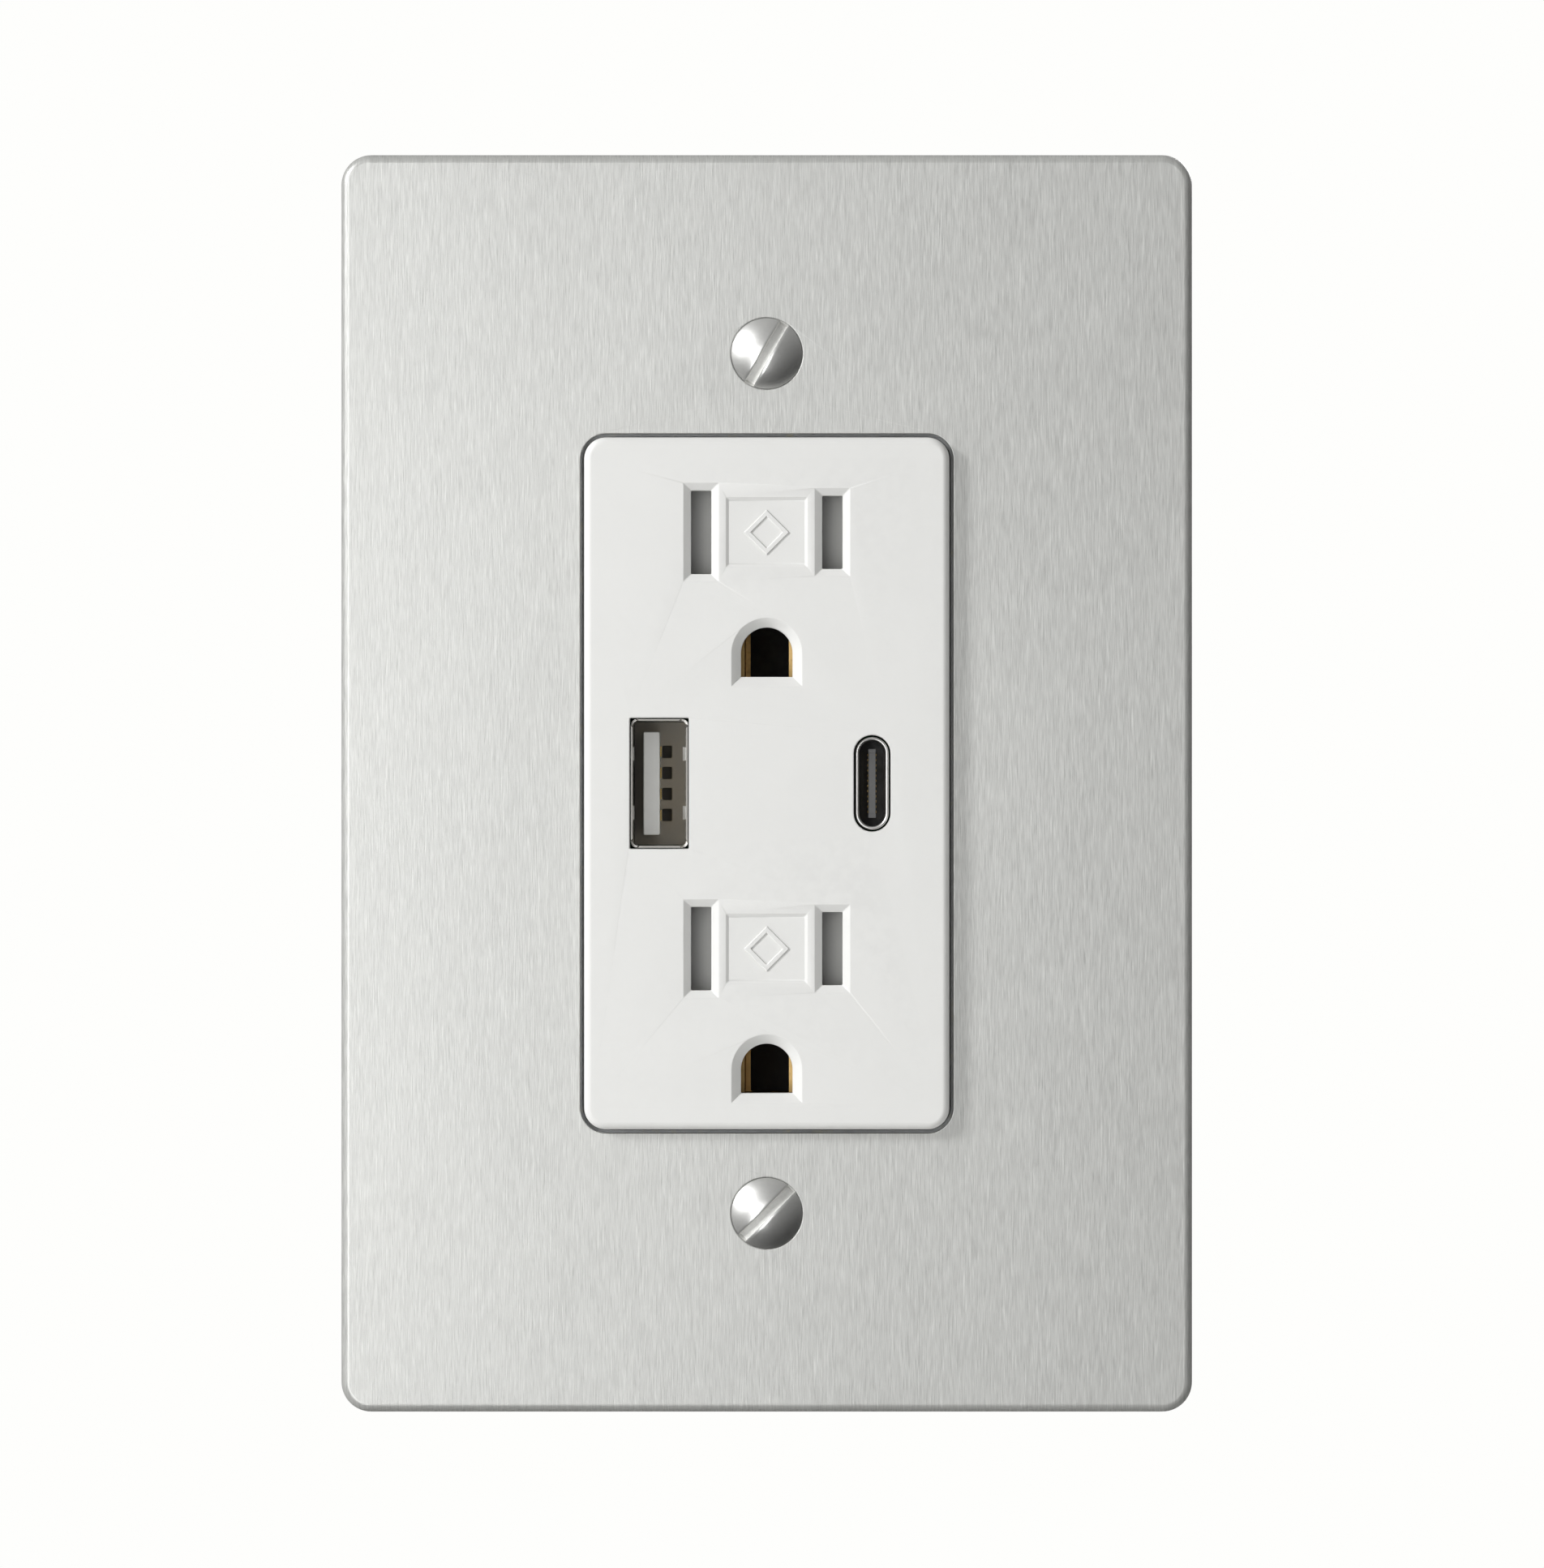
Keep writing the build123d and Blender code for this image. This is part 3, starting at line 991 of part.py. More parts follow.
with BuildPart() as board_chips:
    for chip_x, chip_z, chip_w, chip_h in CHIP_PLACES:
        block((chip_x - chip_w / 2, chip_x + chip_w / 2), (BOARD_BACK, BOARD_BACK + CHIP_T),
              (chip_z - chip_h / 2, chip_z + chip_h / 2))
    block((-6.0, -2.0), (HEADER_FRONT, HEADER_FRONT + 1.0), (-2.0, 2.0))
save(board_chips, "board_chips")
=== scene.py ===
"""A brushed steel wall plate with its captive screws over a shuttered power and USB receptacle."""
import bmesh
import bpy
import json
import math
import numpy as np
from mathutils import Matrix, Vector
from mathutils.geometry import tessellate_polygon


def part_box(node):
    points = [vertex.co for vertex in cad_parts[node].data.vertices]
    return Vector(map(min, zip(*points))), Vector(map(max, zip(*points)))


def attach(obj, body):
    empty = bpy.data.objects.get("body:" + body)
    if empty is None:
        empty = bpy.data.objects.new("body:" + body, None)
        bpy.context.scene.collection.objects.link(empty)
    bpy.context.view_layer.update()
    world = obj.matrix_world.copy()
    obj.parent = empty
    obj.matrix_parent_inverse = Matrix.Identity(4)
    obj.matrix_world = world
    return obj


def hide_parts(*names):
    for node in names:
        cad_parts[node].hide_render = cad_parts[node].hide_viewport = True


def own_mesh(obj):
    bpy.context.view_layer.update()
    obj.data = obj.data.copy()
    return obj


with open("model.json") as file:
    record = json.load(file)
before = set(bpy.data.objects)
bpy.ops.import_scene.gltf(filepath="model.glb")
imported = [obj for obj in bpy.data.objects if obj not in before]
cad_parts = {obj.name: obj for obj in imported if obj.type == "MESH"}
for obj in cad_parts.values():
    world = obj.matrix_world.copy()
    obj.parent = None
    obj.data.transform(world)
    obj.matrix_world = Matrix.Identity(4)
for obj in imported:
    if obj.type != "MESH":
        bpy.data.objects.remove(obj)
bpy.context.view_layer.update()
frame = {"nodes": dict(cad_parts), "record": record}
nodes = frame["nodes"]
# Sizes of the piece are in millimetres; lights and camera are placed in metres.
MM = 0.001
TAU = 2 * math.pi


def size_of(node):
    """Lowest and highest corner of a CAD node in millimetres."""
    lo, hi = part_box(node)
    return np.array(lo) / MM, np.array(hi) / MM


plate_lo, plate_hi = size_of("wall_plate")
face_lo, face_hi = size_of("receptacle_face")
PLATE_W = plate_hi[0] - plate_lo[0]
PLATE_H = plate_hi[2] - plate_lo[2]
PLATE_FRONT = plate_lo[1]
FACE_FRONT = face_lo[1]
FLANGE_W = face_hi[0] - face_lo[0]
FLANGE_H = face_hi[2] - face_lo[2]
FLANGE_T = face_hi[1]
SHEET_T = 0.9
FACE_W = 35.35
FACE_H = 67.0
FACE_INSIDE = FACE_FRONT + 2.4
FACE_WALL = 1.6
OPENING_GAP = 0.4
OUTLETS = {"upper": 24.3, "lower": -16.0}
BLADE_X = 6.35
GROUND_DROP = 11.7
USB_A_X = -10.4
USB_C_X = 10.2


# ======== surfaces ========

def rounded_rectangle(w, h, r, per_corner=10):
    """Outline of a rounded rectangle: each corner's centre plus r times the unit circle."""
    turn = np.linspace(0, TAU / 4, per_corner + 1)
    angles = np.concatenate([turn + k * TAU / 4 for k in range(4)])
    side_x = np.repeat([1, -1, -1, 1], per_corner + 1)
    side_z = np.repeat([1, 1, -1, -1], per_corner + 1)
    return np.stack([side_x * (w / 2 - r) + r * np.cos(angles),
                     side_z * (h / 2 - r) + r * np.sin(angles)], axis=1)


def stadium(w, h, per_end=16):
    """Outline of an upright slot: two half circles of radius w / 2 joined by straight sides."""
    turn = np.linspace(0, TAU / 2, per_end + 1)
    r, rise = w / 2, (h - w) / 2
    top = np.stack([r * np.cos(turn), rise + r * np.sin(turn)], axis=1)
    return np.concatenate([top, -top])


def circle(r, count=48, start=0.0):
    """Outline of a circle: r times the unit circle."""
    a = start + np.arange(count) * TAU / count
    return np.stack([r * np.cos(a), r * np.sin(a)], axis=1)


def ground_outline(r, foot, per_side=8):
    """Outline of a ground pin's hole: a half circle on a box that reaches foot below its centre."""
    turn = np.linspace(0, TAU / 2, 25)
    top = np.stack([r * np.cos(turn), r * np.sin(turn)], axis=1)
    lift = np.linspace(0, -foot, per_side + 1)[1:]
    left = np.stack([np.full(per_side, -r), lift], axis=1)
    across = np.linspace(-r, r, per_side + 1)[1:-1]
    floor = np.stack([across, np.full(per_side - 1, -foot)], axis=1)
    right = np.stack([np.full(per_side, r), lift[::-1]], axis=1)
    return np.concatenate([top, left, floor, right])


def ring(outline, y, at=(0.0, 0.0)):
    """A flat outline set upright at depth y: (x + at_x, y, z + at_z)."""
    return np.column_stack([outline[:, 0] + at[0], np.full(len(outline), y), outline[:, 1] + at[1]])


def skin(rings, close_first=False, close_last=False):
    """Quads between neighbouring closed rings of equal length, with each end ring filled if asked."""
    rows = np.array(rings)
    count, around = rows.shape[:2]
    index = np.arange(count * around).reshape(count, around)
    ahead = np.roll(index, -1, axis=1)
    quads = np.stack([index[:-1], ahead[:-1], ahead[1:], index[1:]], axis=-1).reshape(-1, 4)
    faces = quads.tolist()
    if close_first:
        faces.append(index[0][::-1].tolist())
    if close_last:
        faces.append(index[-1].tolist())
    return rows.reshape(-1, 3), faces


def flat(outer, holes=()):
    """The plane region inside the outer ring and outside the hole rings, cut into triangles."""
    loops = [outer, *holes]
    points = np.concatenate(loops)
    planar = [[Vector((p[0], p[2], 0.0)) for p in loop] for loop in loops]
    return points, [list(t) for t in tessellate_polygon(planar)]


def add_piece(name, patches, body, material, replaces=(), sharp=35, place=None, second=None):
    """One mesh from surface patches in millimetres: joined, seams merged, faces turned outwards.

    second gives another finish and a test of a face's centre that picks the faces it covers."""
    points, faces, start = [], [], 0
    for patch_points, patch_faces in patches:
        points.append(patch_points)
        faces.extend([[i + start for i in f] for f in patch_faces])
        start += len(patch_points)
    points = np.concatenate(points)
    if place is not None:
        points = place(points)
    mesh = bpy.data.meshes.new(name)
    mesh.from_pydata((points * MM).tolist(), [], faces)
    mesh.validate()
    shape = bmesh.new()
    shape.from_mesh(mesh)
    bmesh.ops.remove_doubles(shape, verts=shape.verts, dist=2e-6)
    bmesh.ops.dissolve_degenerate(shape, edges=shape.edges, dist=1e-6)
    bmesh.ops.recalc_face_normals(shape, faces=shape.faces)
    shape.to_mesh(mesh)
    shape.free()
    mesh.polygons.foreach_set("use_smooth", np.ones(len(mesh.polygons), bool))
    mesh.set_sharp_from_angle(angle=math.radians(sharp))
    piece = bpy.data.objects.new(name, mesh)
    bpy.context.scene.collection.objects.link(piece)
    mesh.materials.append(material)
    if second:
        mesh.materials.append(second[0])
        for face in mesh.polygons:
            face.material_index = int(second[1](np.array(face.center) / MM))
    even = piece.modifiers.new("even_shading", "WEIGHTED_NORMAL")
    even.keep_sharp = True
    even.weight = 80
    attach(piece, body)
    if replaces:
        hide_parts(*replaces)
    return piece


# ======== finishes ========

def group(name, outputs, inputs):
    """A new shader node group with value inputs and the given outputs."""
    tree = bpy.data.node_groups.new(name, "ShaderNodeTree")
    for label, default in inputs.items():
        tree.interface.new_socket(label, in_out="INPUT", socket_type="NodeSocketFloat").default_value = default
    for label in outputs:
        tree.interface.new_socket(label, in_out="OUTPUT", socket_type="NodeSocketFloat")
    return tree, tree.nodes.new("NodeGroupInput"), tree.nodes.new("NodeGroupOutput")


def wire(tree, source, target, name_out=0, name_in=0):
    """Join an output socket to an input socket."""
    tree.links.new(source.outputs[name_out], target.inputs[name_in])


def noise_in(tree, coordinates, stretch, detail=3.0, rough=0.55):
    """Noise over object coordinates multiplied by stretch, in cells per metre."""
    scaled = tree.nodes.new("ShaderNodeVectorMath")
    scaled.operation = "MULTIPLY"
    scaled.inputs[1].default_value = stretch
    wire(tree, coordinates, scaled, "Object", 0)
    noise = tree.nodes.new("ShaderNodeTexNoise")
    noise.inputs["Scale"].default_value = 1.0
    noise.inputs["Detail"].default_value = detail
    noise.inputs["Roughness"].default_value = rough
    wire(tree, scaled, noise, 0, "Vector")
    return noise


def curve(tree, source, lo, hi, to_lo=0.0, to_hi=1.0, socket=0):
    """The source's value from lo..hi mapped to to_lo..to_hi, clamped."""
    node = tree.nodes.new("ShaderNodeMapRange")
    for i, value in enumerate((lo, hi, to_lo, to_hi), start=1):
        node.inputs[i].default_value = value
    wire(tree, source, node, socket, 0)
    return node


def maths(tree, operation, first, second, socket_first=0, socket_second=0):
    """A maths node on two sources, either of which may be a number."""
    node = tree.nodes.new("ShaderNodeMath")
    node.operation = operation
    for i, (source, socket) in enumerate(((first, socket_first), (second, socket_second))):
        if isinstance(source, (int, float)):
            node.inputs[i].default_value = source
        else:
            wire(tree, source, node, socket, i)
    return node


def make_brush_lines():
    """Height and tone of a brushed face: two widths of long streaks, a few deeper scratches and raised burrs."""
    tree, given, made = group("brush_lines", ("Height", "Tone"), {"Depth": 1.0, "Spread": 1.0})
    place = tree.nodes.new("ShaderNodeTexCoord")
    fine = noise_in(tree, place, (14000, 1500, 560), 2.0)
    broad = noise_in(tree, place, (8200, 700, 260), 3.0)
    scratch = curve(tree, noise_in(tree, place, (9000, 900, 330), 1.0), 0.26, 0.36, 1.0, 0.0)
    burr = curve(tree, noise_in(tree, place, (9500, 800, 260), 1.0), 0.64, 0.74)
    both = maths(tree, "ADD", maths(tree, "MULTIPLY", fine, 0.65), maths(tree, "MULTIPLY", broad, 0.35))
    cut = maths(tree, "SUBTRACT", both, maths(tree, "MULTIPLY", scratch, 0.14))
    cut = maths(tree, "ADD", cut, maths(tree, "MULTIPLY", burr, 0.14))
    deep = maths(tree, "MULTIPLY", cut, given, 0, "Depth")
    cloud = noise_in(tree, place, (60, 60, 35), 2.0)
    tone = maths(tree, "ADD", maths(tree, "MULTIPLY", cut, 0.92), maths(tree, "MULTIPLY", cloud, 0.08))
    centred = maths(tree, "SUBTRACT", tone, 0.5)
    spread = maths(tree, "MULTIPLY", centred, given, 0, "Spread")
    wire(tree, deep, made, 0, "Height")
    wire(tree, maths(tree, "ADD", spread, 0.5), made, 0, "Tone")
    return tree


def make_moulded_skin():
    """Height and tone of moulded plastic: fine spark-eroded pits and slow sink marks."""
    tree, given, made = group("moulded_skin", ("Height", "Tone"), {"Cells": 6000.0, "Depth": 1.0})
    place = tree.nodes.new("ShaderNodeTexCoord")
    pits = tree.nodes.new("ShaderNodeTexNoise")
    pits.inputs["Detail"].default_value = 2.0
    wire(tree, place, pits, "Object", "Vector")
    wire(tree, given, pits, "Cells", "Scale")
    slow = noise_in(tree, place, (130, 130, 130), 1.0)
    height = maths(tree, "ADD", maths(tree, "MULTIPLY", pits, 0.6), maths(tree, "MULTIPLY", slow, 0.4))
    wire(tree, maths(tree, "MULTIPLY", height, given, 0, "Depth"), made, 0, "Height")
    wire(tree, slow, made, 0, "Tone")
    return tree


def make_handling_dust():
    """Mask of faint dust and finger marks: slow clouds broken up by fine specks."""
    tree, given, made = group("handling_dust", ("Mask",), {"Amount": 0.5})
    place = tree.nodes.new("ShaderNodeTexCoord")
    cloud = curve(tree, noise_in(tree, place, (90, 90, 90), 4.0, 0.6), 0.45, 0.75)
    speck = curve(tree, noise_in(tree, place, (2600, 2600, 2600), 1.0), 0.62, 0.74)
    mixed = maths(tree, "MAXIMUM", maths(tree, "MULTIPLY", cloud, 0.6), speck)
    wire(tree, maths(tree, "MULTIPLY", mixed, given, 0, "Amount"), made, 0, "Mask")
    return tree


def make_edge_rub():
    """Mask that is 1 where a surface bends sharply outwards, broken up by noise."""
    tree, given, made = group("edge_rub", ("Mask",), {"Amount": 0.5})
    shape = tree.nodes.new("ShaderNodeNewGeometry")
    place = tree.nodes.new("ShaderNodeTexCoord")
    bent = curve(tree, shape, 0.52, 0.62, socket="Pointiness")
    patch = curve(tree, noise_in(tree, place, (900, 900, 900), 2.0), 0.35, 0.65)
    mixed = maths(tree, "MULTIPLY", bent, patch)
    wire(tree, maths(tree, "MULTIPLY", mixed, given, 0, "Amount"), made, 0, "Mask")
    return tree


BRUSH = make_brush_lines()
MOULDED = make_moulded_skin()
DUST = make_handling_dust()
RUB = make_edge_rub()


def place_group(tree, shared, **values):
    """A shared group in a material, with its own values."""
    node = tree.nodes.new("ShaderNodeGroup")
    node.node_tree = shared
    for label, value in values.items():
        node.inputs[label].default_value = value
    return node


def blend_colour(tree, mask, socket, low, high):
    """Colour low where the mask is 0 and high where it is 1."""
    node = tree.nodes.new("ShaderNodeMix")
    node.data_type = "RGBA"
    for name, colour in (("A", low), ("B", high)):
        target = [s for s in node.inputs if s.name == name and s.type == "RGBA"][0]
        if isinstance(colour, tuple):
            target.default_value = (*colour, 1.0)
        else:
            tree.links.new(colour, target)
    tree.links.new(mask.outputs[socket], node.inputs[0])
    return [s for s in node.outputs if s.type == "RGBA"][0]


def finish_base(name, metallic, rough, **settings):
    """A material with its principled shader, whose constant values are set on its own sockets."""
    material = bpy.data.materials.new(name)
    material.use_nodes = True
    tree = material.node_tree
    shader = [n for n in tree.nodes if n.type == "BSDF_PRINCIPLED"][0]
    shader.inputs["Metallic"].default_value = metallic
    shader.inputs["Roughness"].default_value = rough
    for label, value in settings.items():
        shader.inputs[label.replace("_", " ")].default_value = value
    return material, tree, shader


def bump_from(tree, shader, source, socket, strength, distance):
    """Feed a height into the shader's normal."""
    bump = tree.nodes.new("ShaderNodeBump")
    bump.inputs["Strength"].default_value = strength
    bump.inputs["Distance"].default_value = distance
    tree.links.new(source.outputs[socket], bump.inputs["Height"])
    tree.links.new(bump.outputs["Normal"], shader.inputs["Normal"])


def plastic(name, colour, rough, cells=6000.0, depth=0.35, dust=0.25, tint=0.06, **settings):
    """Moulded plastic: pitted skin, slow tone change, rubbed edges and faint dust."""
    material, tree, shader = finish_base(name, 0.0, rough, **settings)
    skin_node = place_group(tree, MOULDED, Cells=cells, Depth=1.0)
    dust_node = place_group(tree, DUST, Amount=dust)
    rub_node = place_group(tree, RUB, Amount=0.35)
    darker = tuple(c * (1 - tint) for c in colour)
    lighter = tuple(min(1.0, c * (1 + tint) + 0.004) for c in colour)
    base = blend_colour(tree, skin_node, "Tone", darker, lighter)
    pale = tuple(min(1.0, 0.75 * c + 0.12) for c in colour)
    worn = blend_colour(tree, rub_node, "Mask", base, pale)
    dusty = blend_colour(tree, dust_node, "Mask", worn, tuple(0.8 * c + 0.10 for c in colour))
    tree.links.new(dusty, shader.inputs["Base Color"])
    rougher = maths(tree, "ADD", maths(tree, "MULTIPLY", dust_node, 0.22, "Mask"), rough)
    polished = maths(tree, "SUBTRACT", rougher, maths(tree, "MULTIPLY", rub_node, 0.12, "Mask"))
    wire(tree, polished, shader, 0, "Roughness")
    bump_from(tree, shader, skin_node, "Height", depth, 0.00003)
    return material


def metal(name, colour, rough, streak=(900, 900, 900), tone=0.16, relief=0.25, spot=None, rub=0.5,
          vary=1.0, **settings):
    """Machined or stamped metal: streaks along the given stretch, cloudy tone and duller patches."""
    material, tree, shader = finish_base(name, 1.0, rough, **settings)
    place = tree.nodes.new("ShaderNodeTexCoord")
    lines = noise_in(tree, place, streak, 4.0, 0.6)
    cloud = noise_in(tree, place, (420, 420, 420), 3.0)
    both = maths(tree, "ADD", maths(tree, "MULTIPLY", lines, 0.5), maths(tree, "MULTIPLY", cloud, 0.5))
    dark = tuple(c * (1 - tone) for c in colour)
    light = tuple(min(1.0, c * (1 + tone * 0.6)) for c in colour)
    base = blend_colour(tree, curve(tree, both, 0.3, 0.7), 0, dark, light)
    rub_node = place_group(tree, RUB, Amount=rub)
    worn = blend_colour(tree, rub_node, "Mask", base, tuple(min(1.0, c * 1.25 + 0.03) for c in colour))
    if spot:
        patches = curve(tree, noise_in(tree, place, (700, 700, 700), 3.0, 0.6), 0.58, 0.74, 0.0, 0.6)
        worn = blend_colour(tree, patches, 0, worn, spot)
    tree.links.new(worn, shader.inputs["Base Color"])
    wire(tree, curve(tree, both, 0.25, 0.75, rough * (1 - 0.25 * vary), rough * (1 + 0.35 * vary)), shader, 0,
         "Roughness")
    bump_from(tree, shader, lines, 0, relief, 0.00002)
    return material


def brushed_sheet():
    """Stainless sheet brushed along its height."""
    material, tree, shader = finish_base("plate_brushed_stainless", 0.46, 0.35)
    lines = place_group(tree, BRUSH, Depth=1.0, Spread=1.0)
    dust_node = place_group(tree, DUST, Amount=0.10)
    base = blend_colour(tree, curve(tree, lines, 0.30, 0.70, socket="Tone"), 0,
                        (0.42, 0.423, 0.411), (0.665, 0.669, 0.649))
    tree.links.new(blend_colour(tree, dust_node, "Mask", base, (0.60, 0.60, 0.58)),
                   shader.inputs["Base Color"])
    wire(tree, curve(tree, lines, 0.35, 0.65, 0.32, 0.40, "Tone"), shader, 0, "Roughness")
    bump_from(tree, shader, lines, "Height", 0.30, 0.00003)
    return material


FINISH = {
    "plate_steel": brushed_sheet(),
    "screw_steel": metal("cover_screw_polished", (0.78, 0.78, 0.765), 0.35, (2500, 300, 2500), 0.06, 0.0, rub=0.05,
                         vary=0.2),
    "face_plastic": plastic("face_white_nylon", (0.80, 0.80, 0.785), 0.36, 7000.0, 0.30, 0.10, 0.015),
    "body_plastic": plastic("rear_body_charcoal", (0.045, 0.048, 0.052), 0.55, 4200.0, 0.7, 0.35, 0.18),
    "strap_steel": metal("strap_zinc_plate", (0.58, 0.59, 0.60), 0.32, (200, 1500, 2600), 0.16, 0.25,
                         (0.70, 0.66, 0.50)),
    "washer_nylon": plastic("washer_natural_nylon", (0.80, 0.78, 0.70), 0.40, 5000.0, 0.3, 0.15, 0.03),
    "shutter_plastic": plastic("shutter_grey_acetal", (0.74, 0.74, 0.73), 0.42, 6000.0, 0.3, 0.1, 0.04),
    "tray_plastic": plastic("tray_dark_grey", (0.12, 0.122, 0.125), 0.5, 6000.0, 0.3, 0.1, 0.06),
    "spring_steel": metal("spring_drawn_wire", (0.55, 0.55, 0.56), 0.25, (4000, 4000, 4000), 0.2, 0.2),
    "contact_brass": metal("contact_stamped_brass", (0.68, 0.46, 0.19), 0.30, (600, 2600, 600), 0.22, 0.25,
                           (0.32, 0.19, 0.08)),
    "brass_screw": metal("terminal_brass", (0.72, 0.50, 0.20), 0.24, (2500, 900, 900), 0.2, 0.25,
                         (0.36, 0.22, 0.09)),
    "nickel_screw": metal("terminal_nickel", (0.66, 0.65, 0.62), 0.22, (2500, 900, 900), 0.16, 0.25),
    "green_screw": metal("terminal_green_passivate", (0.05, 0.26, 0.10), 0.30, (2500, 900, 900), 0.25, 0.25,
                         (0.30, 0.34, 0.26)),
    "clamp_steel": metal("clamp_zinc_plate", (0.52, 0.52, 0.53), 0.34, (700, 2400, 700), 0.18, 0.3,
                         (0.62, 0.58, 0.42)),
    "usb_shell_steel": metal("port_nickel_shell", (0.80, 0.785, 0.75), 0.34, (900, 300, 2400), 0.06, 0.1, rub=0.1),
    "usb_white_plastic": plastic("port_white_insulator", (0.78, 0.78, 0.76), 0.4, 7000.0, 0.3, 0.05, 0.02),
    # Darker copy of the shell steel for the USB-A mouth: painted shade.
    "usb_mouth_painted_shade": metal("port_mouth_shaded", (0.34, 0.335, 0.315), 0.42, (900, 300, 2400), 0.1, 0.1, rub=0.1),
    "usb_c_steel": metal("port_c_drawn_steel", (0.60, 0.595, 0.58), 0.30, (900, 300, 900), 0.06, 0.1, rub=0.0),
    # Taupe copy of the white port plastic for the base behind the USB-A tongue: painted shade.
    "usb_base_painted_shade": plastic("port_shaded_base", (0.58, 0.545, 0.48), 0.5, 6000.0, 0.3, 0.05, 0.04),
    # Near-black copy of the base plastic for the pocket insides: painted shade in the recesses.
    "usb_pocket_painted_shade": plastic("port_pocket_shaded", (0.16, 0.15, 0.13), 0.5, 6000.0, 0.3, 0.05, 0.04),
    "usb_spring_bright": metal("port_spring_bright", (0.92, 0.91, 0.89), 0.5, (900, 300, 2400), 0.05, 0.1, rub=0.0),
    "usb_tongue_grey": plastic("port_c_tongue", (0.19, 0.19, 0.195), 0.45, 6000.0, 0.3, 0.1, 0.06),
    "slot_raw_steel": metal("screw_slot_sawn", (0.80, 0.80, 0.78), 0.55, (2500, 300, 2500), 0.15, 0.3, rub=0.0,
                            Metallic=0.12),
    "usb_black_plastic": plastic("port_black_insulator", (0.02, 0.02, 0.022), 0.42, 6000.0, 0.3, 0.15, 0.1),
    "gold_contact": metal("gold_flash", (0.83, 0.60, 0.25), 0.22, (1500, 1500, 1500), 0.12, 0.15),
    "circuit_board": plastic("board_green_mask", (0.02, 0.13, 0.05), 0.3, 1800.0, 0.5, 0.15, 0.25),
    "barrier_sheet": plastic("barrier_fish_paper", (0.10, 0.105, 0.12), 0.6, 2500.0, 0.5, 0.2, 0.1),
    "ferrite": plastic("ferrite_sinter", (0.035, 0.035, 0.038), 0.62, 3000.0, 0.8, 0.15, 0.2),
    "winding_tape": plastic("winding_yellow_tape", (0.62, 0.42, 0.05), 0.3, 1500.0, 0.4, 0.1, 0.08),
    "can_sleeve": plastic("can_shrink_sleeve", (0.02, 0.022, 0.05), 0.22, 2500.0, 0.3, 0.1, 0.2),
    "safety_blue": plastic("safety_disc_blue", (0.03, 0.10, 0.34), 0.25, 1800.0, 0.5, 0.1, 0.12),
    "chip_black": plastic("chip_epoxy", (0.02, 0.02, 0.02), 0.55, 4000.0, 0.5, 0.1, 0.15),
}

# ======== wall plate ========

CORNER_R = 2.9
EDGE_R = 0.8
DIMPLE_R = 3.49
HOLE_R = 1.95
CONE_SLOPE = math.tan(math.radians(41.0))
SCREW_Z = 41.67
ARC_STEPS = 10
SHEAR_R = 0.12


def plate_ring(inset, y):
    """The plate's outline drawn in by inset at depth y; the corner radius shrinks by the same amount."""
    outline = rounded_rectangle(PLATE_W - 2 * inset, PLATE_H - 2 * inset, max(CORNER_R - inset, 0.05), 14)
    return ring(outline, y)


def opening_ring(grow, y):
    """The opening's outline let out by grow at depth y."""
    w, h = FACE_W + 2 * OPENING_GAP, FACE_H + 2 * OPENING_GAP
    return ring(rounded_rectangle(w + 2 * grow, h + 2 * grow, 2.5 + grow, 12), y)


def build_wall_plate():
    """The sheet's section carried round its outline, opening and two dimples, with flats between."""
    turn = np.linspace(0, TAU / 4, ARC_STEPS + 1)
    inner_r = EDGE_R - 0.35
    back = PLATE_FRONT + SHEET_T
    outside = [plate_ring(0.12, 0.0), plate_ring(0.0, -0.12)]
    outside += [plate_ring(EDGE_R * (1 - math.cos(a)), PLATE_FRONT + EDGE_R * (1 - math.sin(a))) for a in turn]
    inside = [plate_ring(SHEET_T - 0.12, 0.0), plate_ring(SHEET_T, -0.12)]
    inside += [plate_ring(SHEET_T + inner_r * (1 - math.cos(a)), back + inner_r * (1 - math.sin(a))) for a in turn]
    lip = [opening_ring(SHEAR_R, PLATE_FRONT), opening_ring(SHEAR_R * 0.3, PLATE_FRONT + SHEAR_R * 0.3),
           opening_ring(0, PLATE_FRONT + SHEAR_R), opening_ring(0, back - 0.05), opening_ring(0.05, back)]
    patches = [skin(outside), skin(inside), skin([outside[0], inside[0]]), skin(lip)]
    front_holes, back_holes = [lip[0]], [lip[-1]]
    seat_end = PLATE_FRONT + (DIMPLE_R - HOLE_R) / CONE_SLOPE
    for z in (SCREW_Z, -SCREW_Z):
        def at_r(r, y):
            return ring(circle(r, 64), y, (0.0, z))
        dimple = [at_r(DIMPLE_R + 0.10, PLATE_FRONT), at_r(DIMPLE_R + 0.04, PLATE_FRONT + 0.02),
                  at_r(DIMPLE_R - 0.03, PLATE_FRONT + 0.09)]
        dimple += [at_r(HOLE_R + 0.04, seat_end - 0.05), at_r(HOLE_R, seat_end),
                   at_r(HOLE_R + SHEET_T - 0.1, seat_end), at_r(HOLE_R + SHEET_T, seat_end - 0.1)]
        back_r = HOLE_R + SHEET_T + (seat_end - back) * 1.165
        dimple += [at_r(back_r, back + 0.08), at_r(back_r + 0.25, back)]
        patches.append(skin(dimple))
        front_holes.append(dimple[0])
        back_holes.append(dimple[-1])
    patches.append(flat(outside[-1], front_holes))
    patches.append(flat(inside[-1], back_holes))
    return add_piece("wall_plate_sheet", patches, "cover", FINISH["plate_steel"],
                     ("wall_plate",), 30)


# ======== screws ========

